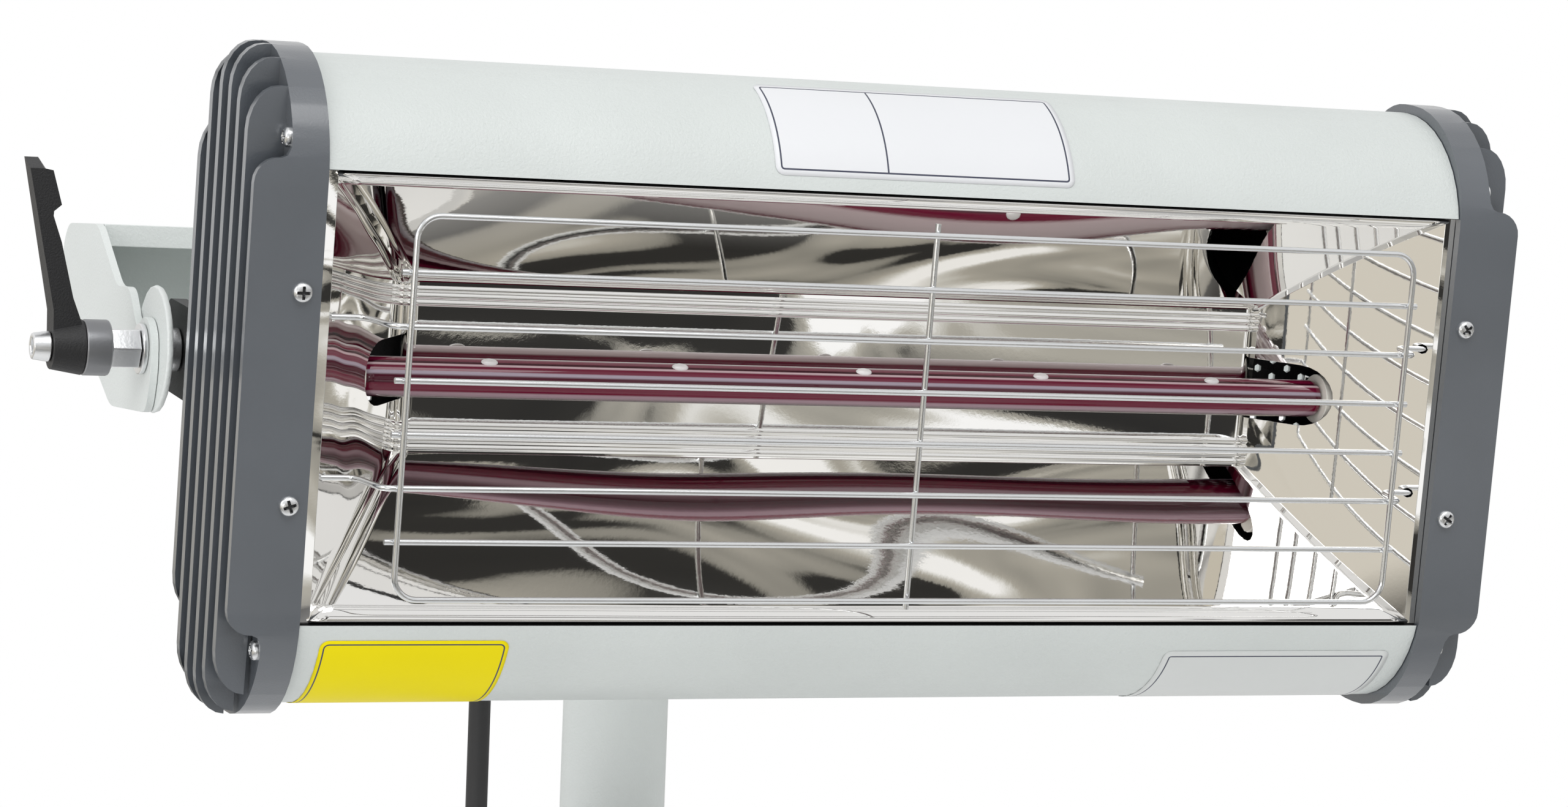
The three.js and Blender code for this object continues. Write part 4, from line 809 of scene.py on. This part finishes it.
# Pale colour: partly clear quartz, partly a painted glint.
glinting_clear_quartz = coated("glinting_clear_quartz", (0.80, 0.77, 0.77), (0.9, 0.9, 0.9), 0.5, 0.06, 400, 0.8,
                      Coat_Weight=1.0)
bm = bmesh.new()
on_tube = Matrix.Rotation(math.radians(DIMPLE_TURN), 4, "X") @ Matrix.Translation((0, -TUBE_RADIUS, 0))
for at in range(DIMPLES):
    along = (at - (DIMPLES - 1) / 2) * DIMPLE_PITCH + DIMPLE_SHIFT
    seat = tube_axis @ Matrix.Translation((along, 0, 0)) @ on_tube @ Matrix.Rotation(math.pi / 2, 4, "X")
    bmesh.ops.create_uvsphere(bm, u_segments=16, v_segments=10, radius=1.0,
                              matrix=seat @ Matrix.Diagonal((*DIMPLE_SIZE, 1)))
made_of("tube_dimples", bm, "quartz_tube", place=HEAD_IN_MM, replaces=None, look=glinting_clear_quartz)
print("dimples:", DIMPLES)

# %% [markdown]
# ## Screws
# Every sheet and bracket is held by pan-head screws with a cross recess. A square grid bent to a disc has
# lines that run along both arms of the cross, so the recess needs no cutting: its points are pushed down into
# the head, and its faces get the black paint as painted shade, since a deep recess lies in shade.

# %% Head of a cross-recess screw
HEAD_RADIUS, HEAD_RISE, SHANK_RADIUS = 3.2, 2.2, 1.9
RIM_SHARE, DOME_POWER, ARM_HALF, ARM_REACH = 0.3, 2.8, 0.13, 0.6
RECESS, RECESS_SLOPE = 1.3, 0.9
DARK_HALF, DARK_REACH = 0.12, 0.56


def screw_head(bm):
    """A domed head of a screw on the ground plane, with a cross pushed into it."""
    bmesh.ops.create_grid(bm, x_segments=24, y_segments=24, size=1)
    for vert in bm.verts:
        u, v, _ = vert.co
        x, y = u * math.sqrt(1 - v * v / 2), v * math.sqrt(1 - u * u / 2)
        dome = math.sqrt(max(1 - math.hypot(x, y) ** DOME_POWER, 0))
        rise = HEAD_RISE * (RIM_SHARE + (1 - RIM_SHARE) * dome)
        if min(abs(u), abs(v)) < ARM_HALF and max(abs(u), abs(v)) < ARM_REACH:
            rise -= RECESS - RECESS_SLOPE * max(abs(u), abs(v))
        vert.co = (x * HEAD_RADIUS, y * HEAD_RADIUS, rise)
    # Faces of the recess get the second finish, black paint, as painted shade.
    for face in bm.faces:
        u, v, _ = face.calc_center_median() / HEAD_RADIUS
        face.material_index = int(min(abs(u), abs(v)) < DARK_HALF and max(abs(u), abs(v)) < DARK_REACH)
    rim = bmesh.ops.extrude_edge_only(bm, edges=[edge for edge in bm.edges if edge.is_boundary])["geom"]
    for vert in rim:
        if isinstance(vert, bmesh.types.BMVert):
            vert.co.z = 0
    bmesh.ops.holes_fill(bm, edges=bm.edges, sides=0)


# %% Cross-recess screws
SAME_HEIGHT = 0.01


def cross_screw(node, way, twist):
    """A screw in place of a CAD one that points along a direction of the head's frame."""
    way = (HEAD.to_3x3() @ Vector(way)).normalized()
    along = [(vert.co @ way, vert.co) for vert in nodes[node].data.vertices]
    start, end = min(reach for reach, _ in along), max(reach for reach, _ in along)
    top = [co for reach, co in along if reach < start + SAME_HEIGHT * MM]
    centre = sum(top, Vector()) / len(top)
    bm = bmesh.new()
    screw_head(bm)
    shank = (end - start) / MM - HEAD_RISE
    bmesh.ops.create_cone(bm, cap_ends=True, segments=16, radius1=SHANK_RADIUS, radius2=SHANK_RADIUS,
                          depth=shank, matrix=Matrix.Translation((0, 0, -shank / 2)))
    bmesh.ops.recalc_face_normals(bm, faces=bm.faces)
    upright = (-way).to_track_quat("Z", "Y").to_matrix().to_4x4() @ Matrix.Rotation(twist, 4, "Z")
    place = (Matrix.Translation(centre) @ upright @ Matrix.Scale(MM, 4)
             @ Matrix.Translation((0, 0, -HEAD_RISE)))
    made = made_of(f"{node}_cross", bm, node, place=place, sharp=40)
    # Black paint as painted shade in the cross recess.
    made.data.materials.append(LOOKS["black_paint"])


TWIST_BY_PLACE, TWIST_BY_ROW = 0.7, 1.9
ways = {"face": (0, 1, 0), "bracket": (0, -1, 0)}
places = [(where_to, side) for where_to in ("face", "side", "bracket") for side in ("left", "right")]
for count, (where_to, side) in enumerate(places):
    inwards = ways.get(where_to, (1 if side == "left" else -1, 0, 0))
    for row, half in enumerate(("upper", "lower")):
        cross_screw(f"{where_to}_screw_{half}_{side}", inwards,
                    twist=TWIST_BY_PLACE * count + TWIST_BY_ROW * row)
print("screws:", 2 * (count + 1))

# %% [markdown]
# ## Stuck-on plates
# The housing carries three thin plates of vinyl with a border line. Each is a flat face with rounded
# corners and an inset line. It is cut into strips, wound round the housing's curve a little above the
# paint, and given a thickness.

# %% A helper for plates
SHELL_RADIUS, SHELL_CENTRE, PLATE_LIFT, PLATE_SHEET = 41.99, 63.01, 0.05, 0.12
PLATE_CORNER, STRIPS = 3, 16
ink = coated("ink", (0.05, 0.055, 0.09), (0.05, 0.055, 0.09), 0.1, 0.4, 500, 0.05)


def flat_plate(width, reach, line, margin, split):
    """A flat plate with a border line, cut into strips, and with an upright line at a share of its width."""
    bm = bmesh.new()
    bm.faces.new([bm.verts.new(co) for co in ((0, 0, 0), (width, 0, 0), (width, reach, 0), (0, reach, 0))])
    bmesh.ops.bevel(bm, geom=bm.verts[:], offset=PLATE_CORNER, affect="VERTICES", segments=5,
                    profile=0.5, material=-1)
    face = max(bm.faces, key=lambda f: f.calc_area())
    bmesh.ops.inset_region(bm, faces=[face], thickness=margin, use_even_offset=True, use_boundary=True)
    rings = set(bm.faces)
    bmesh.ops.inset_region(bm, faces=[face], thickness=line, use_even_offset=True, use_boundary=True)
    for ring in set(bm.faces) - rings:
        ring.material_index = 1
    cuts = [((0, reach * at / STRIPS, 0), (0, 1, 0)) for at in range(1, STRIPS)]
    if split:
        cuts += [((width * split + way * line / 2, 0, 0), (1, 0, 0)) for way in (-1, 1)]
    for point, normal in cuts:
        bmesh.ops.bisect_plane(bm, geom=bm.faces[:] + bm.edges[:] + bm.verts[:], plane_co=point,
                               plane_no=normal)
    for face in bm.faces:
        x, y, _ = face.calc_center_median()
        if split and abs(x - width * split) < line / 2 and margin < y < reach - margin:
            face.material_index = 1
    return bm


def plate(name, left, right, low, high, up, vinyl, line=0.6, margin=1.8, split=None):
    """A plate between two sides in mm and two angles in degrees on the housing's upper or lower round."""
    bm = flat_plate(right - left, math.radians(high - low) * SHELL_RADIUS, line, margin, split)
    radius = SHELL_RADIUS + PLATE_LIFT
    for vert in bm.verts:
        x, y, _ = vert.co
        angle = math.radians(low) + y / SHELL_RADIUS
        depth = SHELL_RADIUS - radius * math.cos(angle)
        vert.co = (left + x, depth, up * (SHELL_CENTRE + radius * math.sin(angle)))
    bmesh.ops.recalc_face_normals(bm, faces=bm.faces)
    if sum(face.normal.y for face in bm.faces) > 0:
        bmesh.ops.reverse_faces(bm, faces=bm.faces)
    made = made_of(name, bm, "housing_shell", place=HEAD_IN_MM, replaces=None, look=vinyl)
    made.data.materials.append(ink)
    thickness = made.modifiers.new("thickness", "SOLIDIFY")
    thickness.thickness, thickness.offset = PLATE_SHEET * MM, 1
    print(name, right - left, "mm wide")


# %% Plates on the housing
white_vinyl = coated("white_vinyl", (0.76, 0.77, 0.79), (0.85, 0.85, 0.86), 0.02, 0.35, 500, 0.1)
yellow_vinyl = coated("yellow_vinyl", (0.87, 0.73, 0.0), (0.9, 0.8, 0.05), 0.04, 0.45, 500, 0.1,
                      Specular_IOR_Level=0.15)
silver_vinyl = coated("silver_vinyl", (0.66, 0.68, 0.67), (0.8, 0.8, 0.8), 0.03, 0.32, 500, 0.1)
plate("top_plate", left=-53.5, right=54.5, low=18.8, high=73.5, up=1, vinyl=white_vinyl, split=0.37)
plate("lower_left_plate", left=-195.5, right=-132.5, low=19.6, high=86, up=-1, vinyl=yellow_vinyl,
      line=0.5, margin=1.2)
plate("lower_right_plate", left=106, right=195.5, low=26.3, high=84, up=-1, vinyl=silver_vinyl,
      line=0.5, margin=2.2)

# %% [markdown]
# ## Relief behind the gland
# A moulded relief keeps the lead from kinking where it leaves the gland. It is a row of ribs that get a
# little smaller towards the lead, so its profile is built rib by rib and spun.

# %% Ribbed relief
RELIEF_PLACE, RELIEF_LENGTH, RELIEF_BORE, RIBS = (-96, 82.6, -45), 20.0, 4.0, 5
RIB_RADIUS, RIB_TAPER, RIB_ROUND, RIB_EDGE, NECK_DEPTH = 5.8, 1.1, 0.2, 0.3, 0.8
CREST_SHARE, FALL_SHARE, NECK_SHARE = 0.6, 0.68, 0.7
pitch = RELIEF_LENGTH / RIBS
ribbed = [(RELIEF_BORE, 0)]
for rib in range(RIBS):
    radius, start = RIB_RADIUS - RIB_TAPER * rib / (RIBS - 1), rib * pitch
    ribbed += [(radius - RIB_ROUND, start), (radius, start + RIB_EDGE), (radius, start + CREST_SHARE * pitch),
               (radius - RIB_ROUND, start + FALL_SHARE * pitch),
               (radius - NECK_DEPTH, start + NECK_SHARE * pitch),
               (radius - NECK_DEPTH, start + pitch)]
ribbed += [(RELIEF_BORE, RELIEF_LENGTH), (RELIEF_BORE, 0)]
backwards = Matrix.Translation(RELIEF_PLACE) @ Matrix.Rotation(-math.pi / 2, 4, "X")
made_of("ribbed_relief", turned(ribbed, backwards), "strain_relief", place=HEAD_IN_MM)
print("relief ribs:", RIBS)

# %% [markdown]
# ## The lead
# The rubber lead leaves a gland at the back, drops down behind the lamp and is wound into a tied coil. It
# crosses the tilt joint, so it is attached to neither the head nor the stand. Its line repeats the points of
# the CAD source.

# %% Line of the lead
LEAD_START = Vector((-80.3, -117.32, 185.28))
LEAD_RADIUS = 3.9
lead_points = [(0, 0, 0), (0, 4, 0.4), (0, 9, 0.8), (0, 16.5, -0.4), (0, 25.5, -4.6), (0.1, 33, -11.6),
               (0.2, 38.2, -20.6), (0.3, 40.6, -31), (0.3, 41.2, -46), (0.3, 41.2, -70), (0.3, 41.2, -98),
               (0.3, 41.2, -126), (0.3, 41.2, -154), (0.3, 41.2, -174)]


def smooth_line(points, steps):
    """A line that passes through every point and turns smoothly between them."""
    points = [Vector(p) for p in points]
    line = []
    for at in range(len(points) - 1):
        before, start = points[max(at - 1, 0)], points[at]
        end, after = points[at + 1], points[min(at + 2, len(points) - 1)]
        for step in range(steps):
            t = step / steps
            line.append(0.5 * (2 * start + (end - before) * t
                               + (2 * before - 5 * start + 4 * end - after) * t ** 2
                               + (3 * start - before - 3 * end + after) * t ** 3))
    return line + [points[-1]]


free_line = smooth_line([Vector(p) + LEAD_START for p in lead_points], steps=3)
print("free lead:", len(free_line), "points")

# %% [markdown]
# ## Coil of the lead
# The spare length is wound by hand in two layers: it starts at the outside, winds in, changes layer half
# way, and winds out again, so both of its ends lie on the outside. A loop gives the angle, radius and layer
# of each point.

# %% Coil and whole lead
TURNS, INNER_RADIUS, PITCH, STEPS = 5, 30.0, 8.4, 24
CLEARANCE, COIL_TAIL = 0.3, 30
coil_radius = INNER_RADIUS + PITCH * TURNS / 2
coil_centre = free_line[-1] + Vector((coil_radius, 0, -CLEARANCE - 2 * LEAD_RADIUS))
coil_line = []
for step in range(TURNS * STEPS + 1):
    angle = math.pi * (1 + 2 * step / STEPS)
    radius = INNER_RADIUS + PITCH * abs(step - TURNS * STEPS / 2) / STEPS
    share = min(max((step - TURNS * STEPS / 2 + STEPS / 4) / (STEPS / 2), 0), 1)
    climb = PITCH * share * share * (3 - 2 * share)
    coil_line.append(coil_centre + Vector((radius * math.cos(angle), climb, radius * math.sin(angle))))
tail = [coil_line[-1] - Vector((0, 0, drop)) for drop in (COIL_TAIL / 2, COIL_TAIL)]
lead_line = [p * MM for p in free_line + smooth_line([*coil_line, *tail], steps=2)]
bm = bmesh.new()
swept(bm, lead_line, LEAD_RADIUS * MM, sides=14)
lead = made_of("lead", bm, "lead_coil", replaces=("lead_tube", "lead_coil"), rides=False)

# %% [markdown]
# ## Plug
# The lead ends in a round in-line connector with grip rings, a coupling nut and an open mouth. It is turned
# from one profile of radius and distance, and hangs straight down from the lead's end.

# %% Plug
PLUG_PROFILE = [(0, 0), (4.2, 0), (5.2, 3), (5.3, 11), (7.0, 12.4), (7.9, 14), (8.5, 17), (8.5, 27.8),
                (9.2, 28.3), (9.2, 31), (8.8, 31.5), (9.2, 32), (9.2, 34.5), (8.8, 35), (9.2, 35.5),
                (9.2, 40.2), (8.5, 40.8), (8.5, 47.4), (8.0, 48), (6.8, 48), (6.8, 43), (0, 43)]
PLUG_OVERLAP = 0.3
plug_top = lead_line[-1] / MM - Vector((0, 0, PLUG_OVERLAP))
downwards = Matrix.Translation(plug_top) @ Matrix.Rotation(math.pi, 4, "X")
plug = made_of("plug", turned(PLUG_PROFILE, downwards), "lead_plug", place=Matrix.Scale(MM, 4), sharp=40)
print("plug length:", max(along for _, along in PLUG_PROFILE), "mm")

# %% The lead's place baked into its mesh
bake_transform(lead)

# %% [markdown]
# ## Box of the dressed model
# The box of the dressed model is worked out, as the CAD model's was at the start.

low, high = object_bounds()
